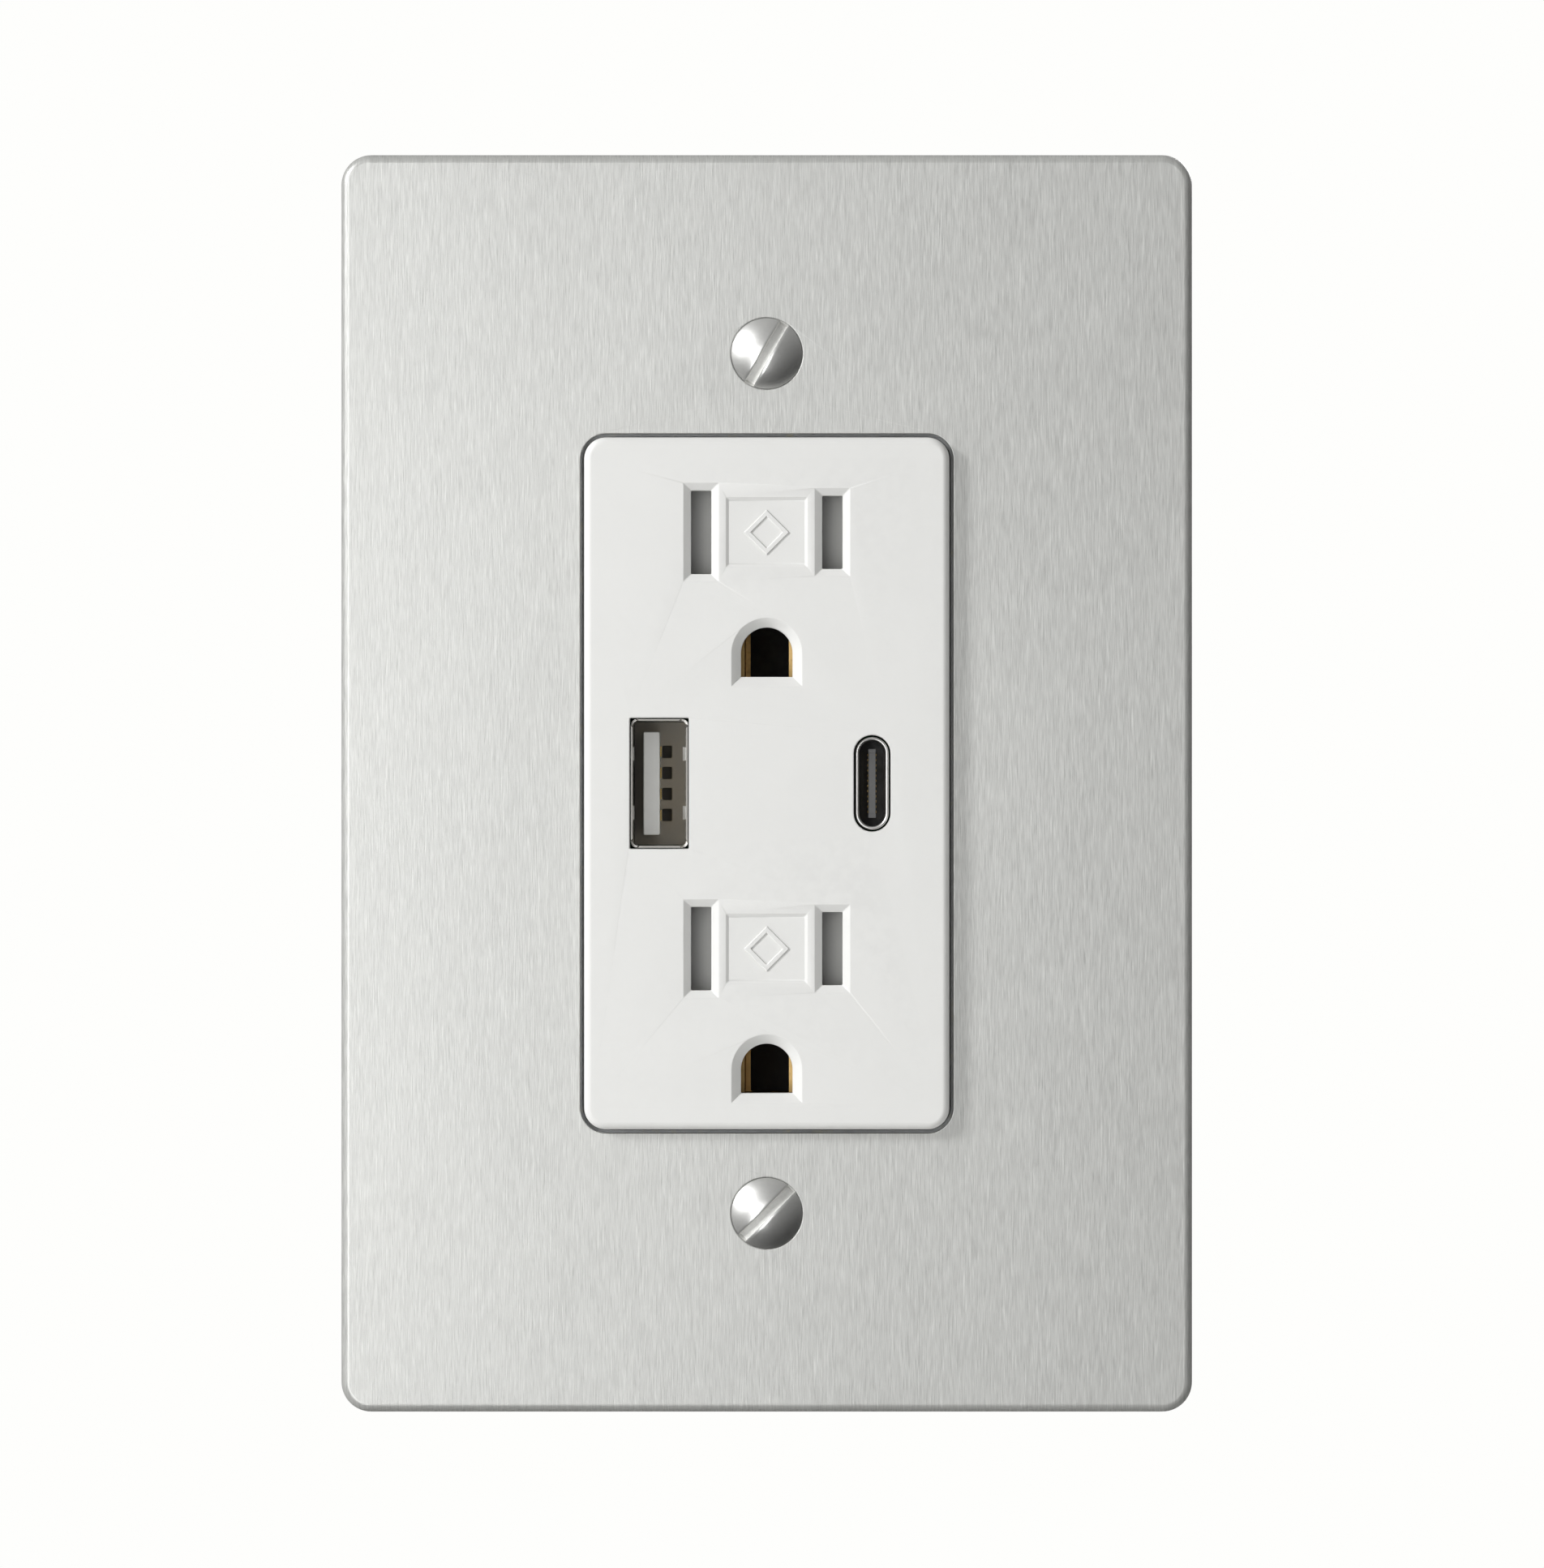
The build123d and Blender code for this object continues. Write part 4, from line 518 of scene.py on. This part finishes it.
def slotted_screw(head_r, dome, slot_w, slot_floor, under, thread, turn, rows=14, columns=36):
    """A slotted screw about its own axis, depth growing away from its head's rim.

    Its top is a grid of chords along the slot: points (u, v) with u = s * sqrt(r * r - v * v), at depth
    slot_floor(distance) where |v| is under half the slot's width and at -dome(distance) elsewhere, with
    a small drop that breaks the slot's edges. The chords' ends are the rim, and each further ring
    keeps their directions with its own radius. thread gives (inner r, outer r, pitch, start, end):
    radius = inner + (outer - inner) * crest(depth / pitch - angle / full turn), crest being a V cut
    flat at its top and foot."""
    half = slot_w / 2
    far = np.sin(np.linspace(0, TAU / 4, rows + 1)) * head_r
    far = far[far > half + 0.12]
    side = [(0.0, 0.02, True), (half * 0.5, 0.0, True), (half * 0.9, -0.04, True), (half, -0.12, True),
            (half, 0.09, False), (half + 0.03, 0.03, False), (half + 0.1, 0.0, False)]
    side += [(v, 0.0, False) for v in far]
    lines = [(-v, drop, floor) for v, drop, floor in side[:0:-1]] + side
    s = np.linspace(-1, 1, columns + 1)
    grid = []
    for v, drop, floor in lines:
        u = s * math.sqrt(max(head_r ** 2 - v ** 2, 0.0))
        away = np.sqrt(u ** 2 + v ** 2)
        depth = slot_floor(away) + drop if floor else -dome(away) + drop
        grid.append(np.stack([u, np.full_like(u, v), depth], axis=1))
    grid = np.array(grid)
    count, across = grid.shape[:2]
    index = np.arange(count * across).reshape(count, across)
    quads = np.stack([index[:-1, :-1], index[:-1, 1:], index[1:, 1:], index[1:, :-1]], axis=-1)
    top = (grid.reshape(-1, 3), quads.reshape(-1, 4).tolist())
    rim = np.concatenate([grid[:, -1], grid[::-1, 0]])
    angle = np.arctan2(rim[:, 1], rim[:, 0])
    rings = [rim]
    for r, depth in under:
        rings.append(np.stack([r * np.cos(angle), r * np.sin(angle), np.full_like(angle, depth)], axis=1))
    inner, outer, pitch, start, end = thread
    even = np.arange(len(angle)) * TAU / len(angle) + angle[0]
    levels = np.arange(start, end, pitch / 12)
    for depth in levels:
        phase = (depth / pitch - angle / TAU) % 1.0
        crest = np.clip(1.25 - np.abs(phase - 0.5) * 3.2, 0, 1)
        grow = np.clip((depth - start) / pitch, 0, 1) * np.clip((end - depth) / (0.9 * pitch), 0, 1)
        r = inner + (outer - inner) * crest * grow
        rings.append(np.stack([r * np.cos(angle), r * np.sin(angle), np.full_like(angle, depth)], axis=1))
    rings.append(np.stack([0.72 * inner * np.cos(angle), 0.72 * inner * np.sin(angle),
                           np.full_like(angle, end)], axis=1))
    rings.append(np.stack([0 * angle, 0 * angle, np.full_like(angle, end)], axis=1))
    body = skin(rings)
    patches = []
    c, sn = math.cos(turn), math.sin(turn)
    for points, faces in (top, body):
        turned = points.copy()
        turned[:, 0] = c * points[:, 0] - sn * points[:, 1]
        turned[:, 1] = sn * points[:, 0] + c * points[:, 1]
        patches.append((turned, faces))
    return patches


def build_cover_screw(name, z, degrees):
    """Oval head: a spherical dome over a cone, a plain neck, then a No. 6-32 thread."""
    head_r, rise, neck_r, thread_r = 3.43, 1.25, 1.35, 1.7525
    ball = (head_r ** 2 + rise ** 2) / (2 * rise)

    def dome(away):
        return np.sqrt(np.maximum(ball ** 2 - away ** 2, 0)) - (ball - rise)
    cone_end = (head_r - neck_r) / CONE_SLOPE
    under = [(head_r, 0.05), (head_r - 0.05, 0.12), (neck_r + 0.1, cone_end - 0.08),
             (neck_r, cone_end), (neck_r, -PLATE_FRONT - 0.05)]
    patches = slotted_screw(head_r, dome, 0.92, lambda away: 0.55 - dome(away), under,
                            (1.37, thread_r, 0.79375, -PLATE_FRONT, 19.5 - PLATE_FRONT), math.radians(degrees))

    def place(p):
        return np.column_stack([p[:, 0], p[:, 2] + PLATE_FRONT, p[:, 1] + z])
    c, sn = math.cos(math.radians(degrees)), math.sin(math.radians(degrees))

    def in_slot(p):
        across = c * (p[2] - z) - sn * p[0]
        below = p[1] - PLATE_FRONT + dome(min(math.hypot(p[0], p[2] - z), head_r))
        return abs(across) < 0.47 and 0.1 < below < 0.8 and p[1] < PLATE_FRONT + 0.7
    return add_piece(name + "_turned", patches, name.replace("_cover", ""), FINISH["screw_steel"],
                     (name,), 32, place, (FINISH["slot_raw_steel"], in_slot))


def build_terminal_screw(prefix, slot):
    """Flat binding head with a rolled edge, on a No. 8-32 thread that runs through its clamp."""
    lo, hi = size_of(prefix + "_screw")
    side = 1 if lo[0] > 0 else -1
    y, z = (lo[1] + hi[1]) / 2, (lo[2] + hi[2]) / 2
    head_r = (hi[2] - lo[2]) / 2
    head_end = max(abs(lo[0]), abs(hi[0]))
    shank_end = min(abs(lo[0]), abs(hi[0]))
    head_t = 2.2

    def dome(away):
        return 0.30 - 0.30 * np.clip((away - 0.62 * head_r) / (0.38 * head_r), 0, 1) ** 2
    under = [(head_r, 0.12), (head_r, head_t - 0.55), (head_r - 0.12, head_t - 0.33), (2.0, head_t - 0.3)]
    patches = slotted_screw(head_r, dome, 1.0, lambda away: np.full_like(away, 0.9), under,
                            (1.66, 2.083, 0.79375, head_t - 0.25, head_end - shank_end - 0.3),
                            math.radians(20 if side > 0 else -35))

    def place(p):
        return np.column_stack([side * (head_end - 0.3 - p[:, 2]), y + side * p[:, 0], z + p[:, 1]])
    return add_piece(prefix + "_screw_turned", patches, prefix + "_screw", FINISH[slot],
                     (prefix + "_screw",), 32, place)


# ======== receptacle face ========

def hole_rings(outline, front, back, bevel, bevel_depth, at):
    """Rings down a hole: a rolled edge, a mitred lead-in of the given width, then a straight throat."""
    edge = 0.07
    return [ring(outline(bevel + edge), front, at), ring(outline(bevel - 0.02), front + 0.05, at),
            ring(outline(0.05), front + bevel_depth - 0.04, at), ring(outline(0.0), front + bevel_depth + 0.04, at),
            ring(outline(0.0), back - 0.05, at), ring(outline(0.05), back, at)]


def rectangle_outline(w, h):
    """Gives the outline of a rectangle let out by a margin, with a corner radius of 0.12."""
    return lambda grow: rounded_rectangle(w + 2 * grow, h + 2 * grow, 0.12, 3)


def build_receptacle_face():
    """The face's section carried round its outline, with blade, ground, panel and port holes."""
    turn = np.linspace(0, TAU / 4, 9)
    edge_r = 0.7

    def face_ring(inset, y, r=2.1):
        return ring(rounded_rectangle(FACE_W - 2 * inset, FACE_H - 2 * inset, r, 12), y)
    outside = [face_ring(0, 0.0)]
    outside += [face_ring(edge_r * (1 - math.cos(a)), FACE_FRONT + edge_r * (1 - math.sin(a)),
                          2.1 - edge_r * (1 - math.cos(a))) for a in turn]
    inside = [face_ring(FACE_WALL, FLANGE_T, 0.5), face_ring(FACE_WALL, FACE_INSIDE, 0.5)]
    flange = [ring(rounded_rectangle(FLANGE_W, FLANGE_H, 1.0, 12), y) for y in (0.0, FLANGE_T)]
    patches = [skin(outside), skin(inside), skin(flange), skin([outside[0], flange[0]]),
               skin([inside[0], flange[1]])]
    front_holes, back_holes = [], []

    def drill(outline, bevel, depth, at):
        rings = hole_rings(outline, FACE_FRONT, FACE_INSIDE, bevel, depth, at)
        patches.append(skin(rings))
        front_holes.append(rings[0])
        back_holes.append(rings[-1])
    for line in OUTLETS.values():
        drill(rectangle_outline(1.98, 8.1), 0.7, 0.45, (-BLADE_X, line))
        drill(rectangle_outline(1.98, 7.1), 0.7, 0.45, (BLADE_X, line))
        drill(lambda grow: ground_outline(2.5 + grow, 2.3 + grow), 0.9, 0.7, (0.0, line - GROUND_DROP))
        floor_y = FACE_FRONT + 0.18
        panel = rectangle_outline(7.3, 6.2)
        bowl = [ring(panel(0.33), FACE_FRONT, (0, line)), ring(panel(0.27), FACE_FRONT + 0.04, (0, line)),
                ring(panel(0.04), floor_y - 0.03, (0, line)), ring(panel(0.0), floor_y, (0, line))]
        mark = []
        for r, lift in ((2.2, 0.0), (2.16, 0.11), (2.08, 0.15), (1.62, 0.15), (1.54, 0.11), (1.5, 0.0)):
            mark.append(ring(circle(r, 4), floor_y - lift, (0, line)))
        patches += [skin(bowl), skin(mark), flat(bowl[-1], [mark[0]]), flat(mark[-1])]
        front_holes.append(bowl[0])
    drill(lambda grow: rounded_rectangle(5.71 + 2 * grow, 12.66 + 2 * grow, 0.12 + grow, 5),
          0.06, 0.06, (USB_A_X, 0.0))
    drill(lambda grow: stadium(3.56 + 2 * grow, 9.34 + 2 * grow), 0.06, 0.06, (USB_C_X, 0.0))
    patches.append(flat(outside[-1], front_holes))
    patches.append(flat(inside[-1], back_holes))
    return add_piece("receptacle_face_moulding", patches, "receptacle", FINISH["face_plastic"],
                     ("receptacle_face",), 32)


# ======== ports ========

PORT_FRONT = FACE_FRONT + 0.35
USB_BACK = 7.0
USB_A_PINS = (3.1, 1.03, -1.03, -3.1)
USB_A_PIN_X = -9.77


def build_usb_a_shell():
    """Folded shell: a rounded rectangle carried into the wall, its mouth flared and cut away at its corners.

    The mouth starts 2.2 * c deeper, where c falls from 1 at 0.54 from a corner to 0 at 0.62."""
    def outline(w, h, r):
        base = rounded_rectangle(w, h, r, 5)
        closed = np.vstack([base, base[:1]])
        gap = np.hypot(*(closed[1:] - closed[:-1]).T)
        walk = np.concatenate([[0], np.cumsum(gap)])
        s = np.linspace(0, walk[-1], 321)[:-1]
        return np.column_stack([np.interp(s, walk, closed[:, 0]), np.interp(s, walk, closed[:, 1])])
    outer, inner = outline(5.55, 12.5, 0.5), outline(5.15, 12.1, 0.3)
    at = (USB_A_X, 0.0)
    from_corner = np.maximum(2.775 - np.abs(outer[:, 0]), 6.25 - np.abs(outer[:, 1]))
    cut = 2.2 * np.clip((0.62 - from_corner) / 0.08, 0, 1)

    def mouth(shape, y, share=1.0):
        rows = ring(shape, y, at)
        rows[:, 1] += cut * share
        return rows
    rings = [ring(outer, USB_BACK, at), mouth(outer, PORT_FRONT + 0.05), mouth(outer * (0.99, 0.996), PORT_FRONT),
             mouth(outer * (0.93, 0.97), PORT_FRONT), mouth(inner, PORT_FRONT + 0.5, 0.85),
             ring(inner, PORT_FRONT + 2.8, at), ring(inner, USB_BACK, at)]
    rings.append(rings[0])
    # Faces within 0.3 mm of the front take the darker copy of the shell steel: painted shade at the port's mouth.
    return add_piece("usb_a_folded_shell", [skin(rings)], "receptacle", FINISH["usb_shell_steel"],
                     ("usb_a_shell",), 38,
                     second=(FINISH["usb_mouth_painted_shade"], lambda p: p[1] < PORT_FRONT + 0.3))


def build_usb_a_springs():
    """Two spring tongues on each long wall, bowed inwards: lift = reach * sin(pi * s) ** 0.7 along each."""
    patches = []
    for side, reach in ((1, 0.30), (-1, 0.12)):
        wall = USB_A_X + side * 2.56
        for z in (2.85, -2.85):
            rows = []
            for s in np.linspace(0, 1, 16):
                x = wall - side * reach * math.sin(math.pi * s) ** 0.7
                y = PORT_FRONT + 0.45 + 3.4 * s
                half = 0.68 - 0.1 * abs(s - 0.5)
                rows.append(np.array([[x, y, z - half], [x + side * 0.12, y, z - half],
                                      [x + side * 0.12, y, z + half], [x, y, z + half]]))
            patches.append(skin(rows, True, True))
    return add_piece("usb_a_shell_springs", patches, "receptacle", FINISH["usb_spring_bright"],
                     (), 40)


def soft_block(x, y, z, r=0.08):
    """A block whose long edges along Y are rounded by r and whose front edge is broken by r."""
    w, h = x[1] - x[0], z[1] - z[0]
    at = ((x[0] + x[1]) / 2, (z[0] + z[1]) / 2)
    outline = rounded_rectangle(w, h, min(r, w / 2.2, h / 2.2), 4)
    small = rounded_rectangle(w - r, h - r, min(r, w / 2.2, h / 2.2) * 0.6, 4)
    return skin([ring(small, y[0], at), ring(outline, y[0] + r * 0.6, at), ring(outline, y[1], at)], True, True)


def build_usb_a_tongue():
    """White tongue that stands out of the port's base, its edges softened."""
    tongue = soft_block((-11.95, -10.4), (PORT_FRONT + 2.2, USB_BACK - 2.4), (-5.0, 5.0), 0.14)
    return add_piece("usb_a_tongue", [tongue], "receptacle", FINISH["usb_white_plastic"],
                     ("usb_a_insulator",), 35)


def build_usb_a_base():
    """Base behind the tongue: a plate whose front has four square pockets round the contact springs."""
    front, back = USB_BACK - 2.5, USB_BACK
    x, z = (-12.925, -7.875), (-6.0, 6.0)
    outer = rectangle_outline(x[1] - x[0], z[1] - z[0])(0)
    at = ((x[0] + x[1]) / 2, 0.0)
    rim = ring(outer, front, at)
    patches, holes = [skin([rim, ring(outer, back, at)], False, True)], []
    for pin_z in USB_A_PINS:
        pocket = rectangle_outline(0.94, 1.2)
        middle = (USB_A_PIN_X, pin_z)
        rows = [ring(pocket(0.06), front, middle), ring(pocket(0.0), front + 0.06, middle),
                ring(pocket(0.0), front + 1.5, middle)]
        patches.append(skin(rows, False, True))
        holes.append(rows[0])
    patches.append(flat(rim, holes))

    # Picks the faces deep inside a pocket, which get the near-black painted shade.
    def in_pocket(p):
        return p[1] > front + 0.4 and abs(p[0] - USB_A_PIN_X) < 0.6
    # The base takes the taupe copy as painted shade, and the pocket faces take the near-black copy as painted shade
    # in the recesses.
    return add_piece("usb_a_base", patches, "receptacle", FINISH["usb_base_painted_shade"],
                     (), 35, second=(FINISH["usb_pocket_painted_shade"], in_pocket))


def build_usb_a_contacts():
    """Four sprung leaves along the tongue's side, bowed towards the plug."""
    patches = []
    for z in USB_A_PINS:
        depth = np.linspace(PORT_FRONT + 3.9, USB_BACK, 24)
        bow = 0.05 * np.exp(-((depth - PORT_FRONT - 4.2) / 0.8) ** 2)
        rows = []
        for y, lift in zip(depth, bow):
            x = -10.39 + lift
            y = y + 0.8 * (USB_BACK - y) / (USB_BACK - PORT_FRONT)
            rows.append(np.array([[x, y, z - 0.5], [x + 0.1, y, z - 0.5], [x + 0.1, y, z + 0.5], [x, y, z + 0.5]]))
        patches.append(skin(rows, True, True))
    return add_piece("usb_a_leaf_contacts", patches, "receptacle", FINISH["gold_contact"],
                     ("usb_a_contacts",), 40)


def build_usb_c_tongue():
    """Thin tongue on its base block, a wider stop at each end."""
    patches = [soft_block((USB_C_X - 0.35, USB_C_X + 0.35), (PORT_FRONT + 1.6, PORT_FRONT + 6.7),
                          (-3.345, 3.345), 0.1)]
    for z in (3.15, -3.15):
        patches.append(soft_block((USB_C_X - 0.37, USB_C_X + 0.37), (PORT_FRONT + 1.5, PORT_FRONT + 3.0),
                                  (z - 0.2, z + 0.2), 0.06))
    outline = stadium(2.46, 8.24, 24)
    at = (USB_C_X, 0.0)
    base = skin([ring(outline, PORT_FRONT + 6.6, at), ring(outline, USB_BACK, at)], True, True)
    return add_piece("usb_c_tongue", patches + [base], "receptacle", FINISH["usb_tongue_grey"],
                     ("usb_c_insulator",), 35,
                     second=(FINISH["usb_black_plastic"], lambda p: p[1] > PORT_FRONT + 5.5))


def build_usb_c_shell():
    """Drawn shell: a slot outline carried into the wall, its lip rolled over half an ellipse."""
    at = (USB_C_X, 0.0)

    def outline(grow):
        return stadium(2.56 + 2 * grow, 8.34 + 2 * grow, 24)
    wall = 0.32
    turn = np.linspace(0, TAU / 2, 13)
    rings = [ring(outline(wall), USB_BACK, at)]
    rings += [ring(outline(wall / 2 + wall / 2 * math.cos(a)), PORT_FRONT + 0.14 * (1 - math.sin(a)), at)
              for a in turn]
    rings += [ring(outline(0), PORT_FRONT + 0.9, at), ring(outline(-0.04), PORT_FRONT + 1.1, at),
              ring(outline(0), USB_BACK, at)]
    rings.append(rings[0])
    return add_piece("usb_c_drawn_shell", [skin(rings)], "receptacle", FINISH["usb_c_steel"],
                     ("usb_c_shell",), 38)


# ======== springs ========

def build_spring(which):
    """Wire of radius 0.15 along a helix of seven and a half turns, wound closer at both ends."""
    lo, hi = size_of(which + "_shutter_spring")
    y, z = (lo[1] + hi[1]) / 2, (lo[2] + hi[2]) / 2
    coil_r, wire_r, turns = 1.0, 0.15, 7.5
    t = np.linspace(0, 1, 420)
    eased = np.interp(t, [0, 0.11, 0.89, 1.0], [0, 0.05, 0.95, 1.0])
    x = lo[0] + wire_r + eased * (hi[0] - lo[0] - 2 * wire_r)
    a = t * turns * TAU
    centre = np.stack([x, y + coil_r * np.cos(a), z + coil_r * np.sin(a)], axis=1)
    along = np.gradient(centre, axis=0)
    along /= np.linalg.norm(along, axis=1, keepdims=True)
    outward = np.stack([0 * a, np.cos(a), np.sin(a)], axis=1)
    side = np.cross(along, outward)
    side /= np.linalg.norm(side, axis=1, keepdims=True)
    outward = np.cross(side, along)
    b = np.arange(10) * TAU / 10
    rings = centre[:, None] + wire_r * (np.cos(b)[None, :, None] * outward[:, None]
                                        + np.sin(b)[None, :, None] * side[:, None])
    piece = add_piece(which + "_shutter_coil", [skin(rings, True, True)], "receptacle",
                      FINISH["spring_steel"], (which + "_shutter_spring",), 60)
    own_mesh(piece)
    return piece


# ======== build ========

build_wall_plate()
build_cover_screw("top_cover_screw", SCREW_Z, 60)
build_cover_screw("bottom_cover_screw", -SCREW_Z, 45)
build_receptacle_face()
build_usb_a_shell()
build_usb_a_springs()
build_usb_a_tongue()
build_usb_a_base()
build_usb_a_contacts()
build_usb_c_shell()
build_usb_c_tongue()
for which in OUTLETS:
    build_spring(which)
TERMINALS = {"hot_upper_terminal": "brass_screw", "hot_lower_terminal": "brass_screw",
             "neutral_upper_terminal": "nickel_screw", "neutral_lower_terminal": "nickel_screw",
             "ground_terminal": "green_screw"}
for prefix, finish in TERMINALS.items():
    build_terminal_screw(prefix, finish)

# ======== pieces that keep their CAD solids ========

slot_of = {s["node"]: s["material_slot"] for s in frame["record"]["subparts"]}
for name, node in nodes.items():
    if node.hide_render:
        continue
    node.data.materials.clear()
    node.data.materials.append(FINISH[slot_of[name]])
    weld = node.modifiers.new("weld", "WELD")
    weld.merge_threshold = 2e-6
    edge = node.modifiers.new("broken_edges", "BEVEL")
    edge.width = 0.3 * MM if name == "rear_body" else 0.08 * MM
    edge.segments = 2
    edge.limit_method = "ANGLE"
    edge.angle_limit = math.radians(40)
    even = node.modifiers.new("even_shading", "WEIGHTED_NORMAL")
    even.keep_sharp = True

# ======== studio ========


def build_floor():
    """A pale round floor below the piece: a flat disc whose rim drops 6 mm."""
    low = plate_lo[2] - 60.0
    radii = [0.0, 150.0, 320.0, 500.0, 510.0]
    drops = [0.0, 0.0, 0.0, 0.0, 2.0]
    rings = [np.column_stack([circle(max(r, 0.01), 96), np.full(96, low - d)]) for r, d in zip(radii, drops)]
    rings.append(np.column_stack([circle(510.0, 96), np.full(96, low - 6.0)]))
    points, faces = skin(rings, True, True)
    mesh = bpy.data.meshes.new("studio_floor")
    mesh.from_pydata((points * MM).tolist(), [], faces)
    floor = bpy.data.objects.new("studio_floor", mesh)
    bpy.context.scene.collection.objects.link(floor)
    material, tree, shader = finish_base("floor_pale_matte", 0.0, 0.8)
    shader.inputs["Base Color"].default_value = (0.86, 0.86, 0.85, 1)
    mesh.materials.append(material)
    floor.visible_glossy = False


def softbox(name, at, toward, size, power):
    """A rectangular area light at a point in metres, facing another and not seen itself."""
    data = bpy.data.lights.new(name, "AREA")
    data.shape = "RECTANGLE"
    data.size, data.size_y = size
    data.energy = power
    lamp = bpy.data.objects.new(name, data)
    lamp.location = at
    lamp.rotation_mode = "QUATERNION"
    lamp.rotation_quaternion = (Vector(toward) - Vector(at)).to_track_quat("-Z", "Y")
    lamp.visible_camera = False
    bpy.context.scene.collection.objects.link(lamp)
    return lamp


def build_world():
    """White behind the piece; in reflections and as light, brighter above left and darker below right."""
    world = bpy.data.worlds.new("studio")
    bpy.context.scene.world = world
    world.use_nodes = True
    tree = world.node_tree
    tree.nodes.clear()
    out = tree.nodes.new("ShaderNodeOutputWorld")
    seen = tree.nodes.new("ShaderNodeBackground")
    seen.inputs["Color"].default_value = (0.99, 0.99, 0.975, 1)
    lit = tree.nodes.new("ShaderNodeBackground")
    place = tree.nodes.new("ShaderNodeTexCoord")
    facing = tree.nodes.new("ShaderNodeVectorMath")
    facing.operation = "DOT_PRODUCT"
    facing.inputs[1].default_value = Vector((-0.62, -0.25, 0.74)).normalized()
    wire(tree, place, facing, "Generated", 0)
    ramp = tree.nodes.new("ShaderNodeMapRange")
    tree.links.new(facing.outputs["Value"], ramp.inputs[0])
    for i, value in enumerate((-0.75, 0.9, 0.03, 0.51), start=1):
        ramp.inputs[i].default_value = value
    wire(tree, ramp, lit, 0, "Strength")
    lit.inputs["Color"].default_value = (1.0, 1.0, 0.985, 1)
    path = tree.nodes.new("ShaderNodeLightPath")
    mix = tree.nodes.new("ShaderNodeMixShader")
    wire(tree, path, mix, "Is Camera Ray", 0)
    tree.links.new(lit.outputs[0], mix.inputs[1])
    tree.links.new(seen.outputs[0], mix.inputs[2])
    wire(tree, mix, out, 0, "Surface")


build_floor()
build_world()
softbox("key_left_above", (-0.69, -0.50, 0.37), (0, 0, 0), (0.20, 0.20), 6.9)
left_panel = softbox("left_panel", (-0.280, -0.90, -0.17), (-0.280, 0.0, -0.17), (0.33, 0.70), 3.9)
left_panel.visible_diffuse = False
softbox("rear_fill", (0.6, 0.9, 0.5), (0, 0, 0), (0.6, 0.6), 5.0)
bpy.context.scene.view_settings.view_transform = "Standard"

camera_data = bpy.data.cameras.new("camera")
camera = bpy.data.objects.new("camera", camera_data)
bpy.context.scene.collection.objects.link(camera)
bpy.context.scene.camera = camera
CAMERA_AWAY = 0.90
FRAME_H = 0.1520
camera_data.sensor_width = 36.0
camera_data.lens = 36.0 * CAMERA_AWAY / FRAME_H
camera.location = (0.00051, PLATE_FRONT * MM - CAMERA_AWAY, -0.00006)
camera.rotation_euler = (math.radians(90), 0, 0)
camera_data.clip_start, camera_data.clip_end = 0.01, 10.0
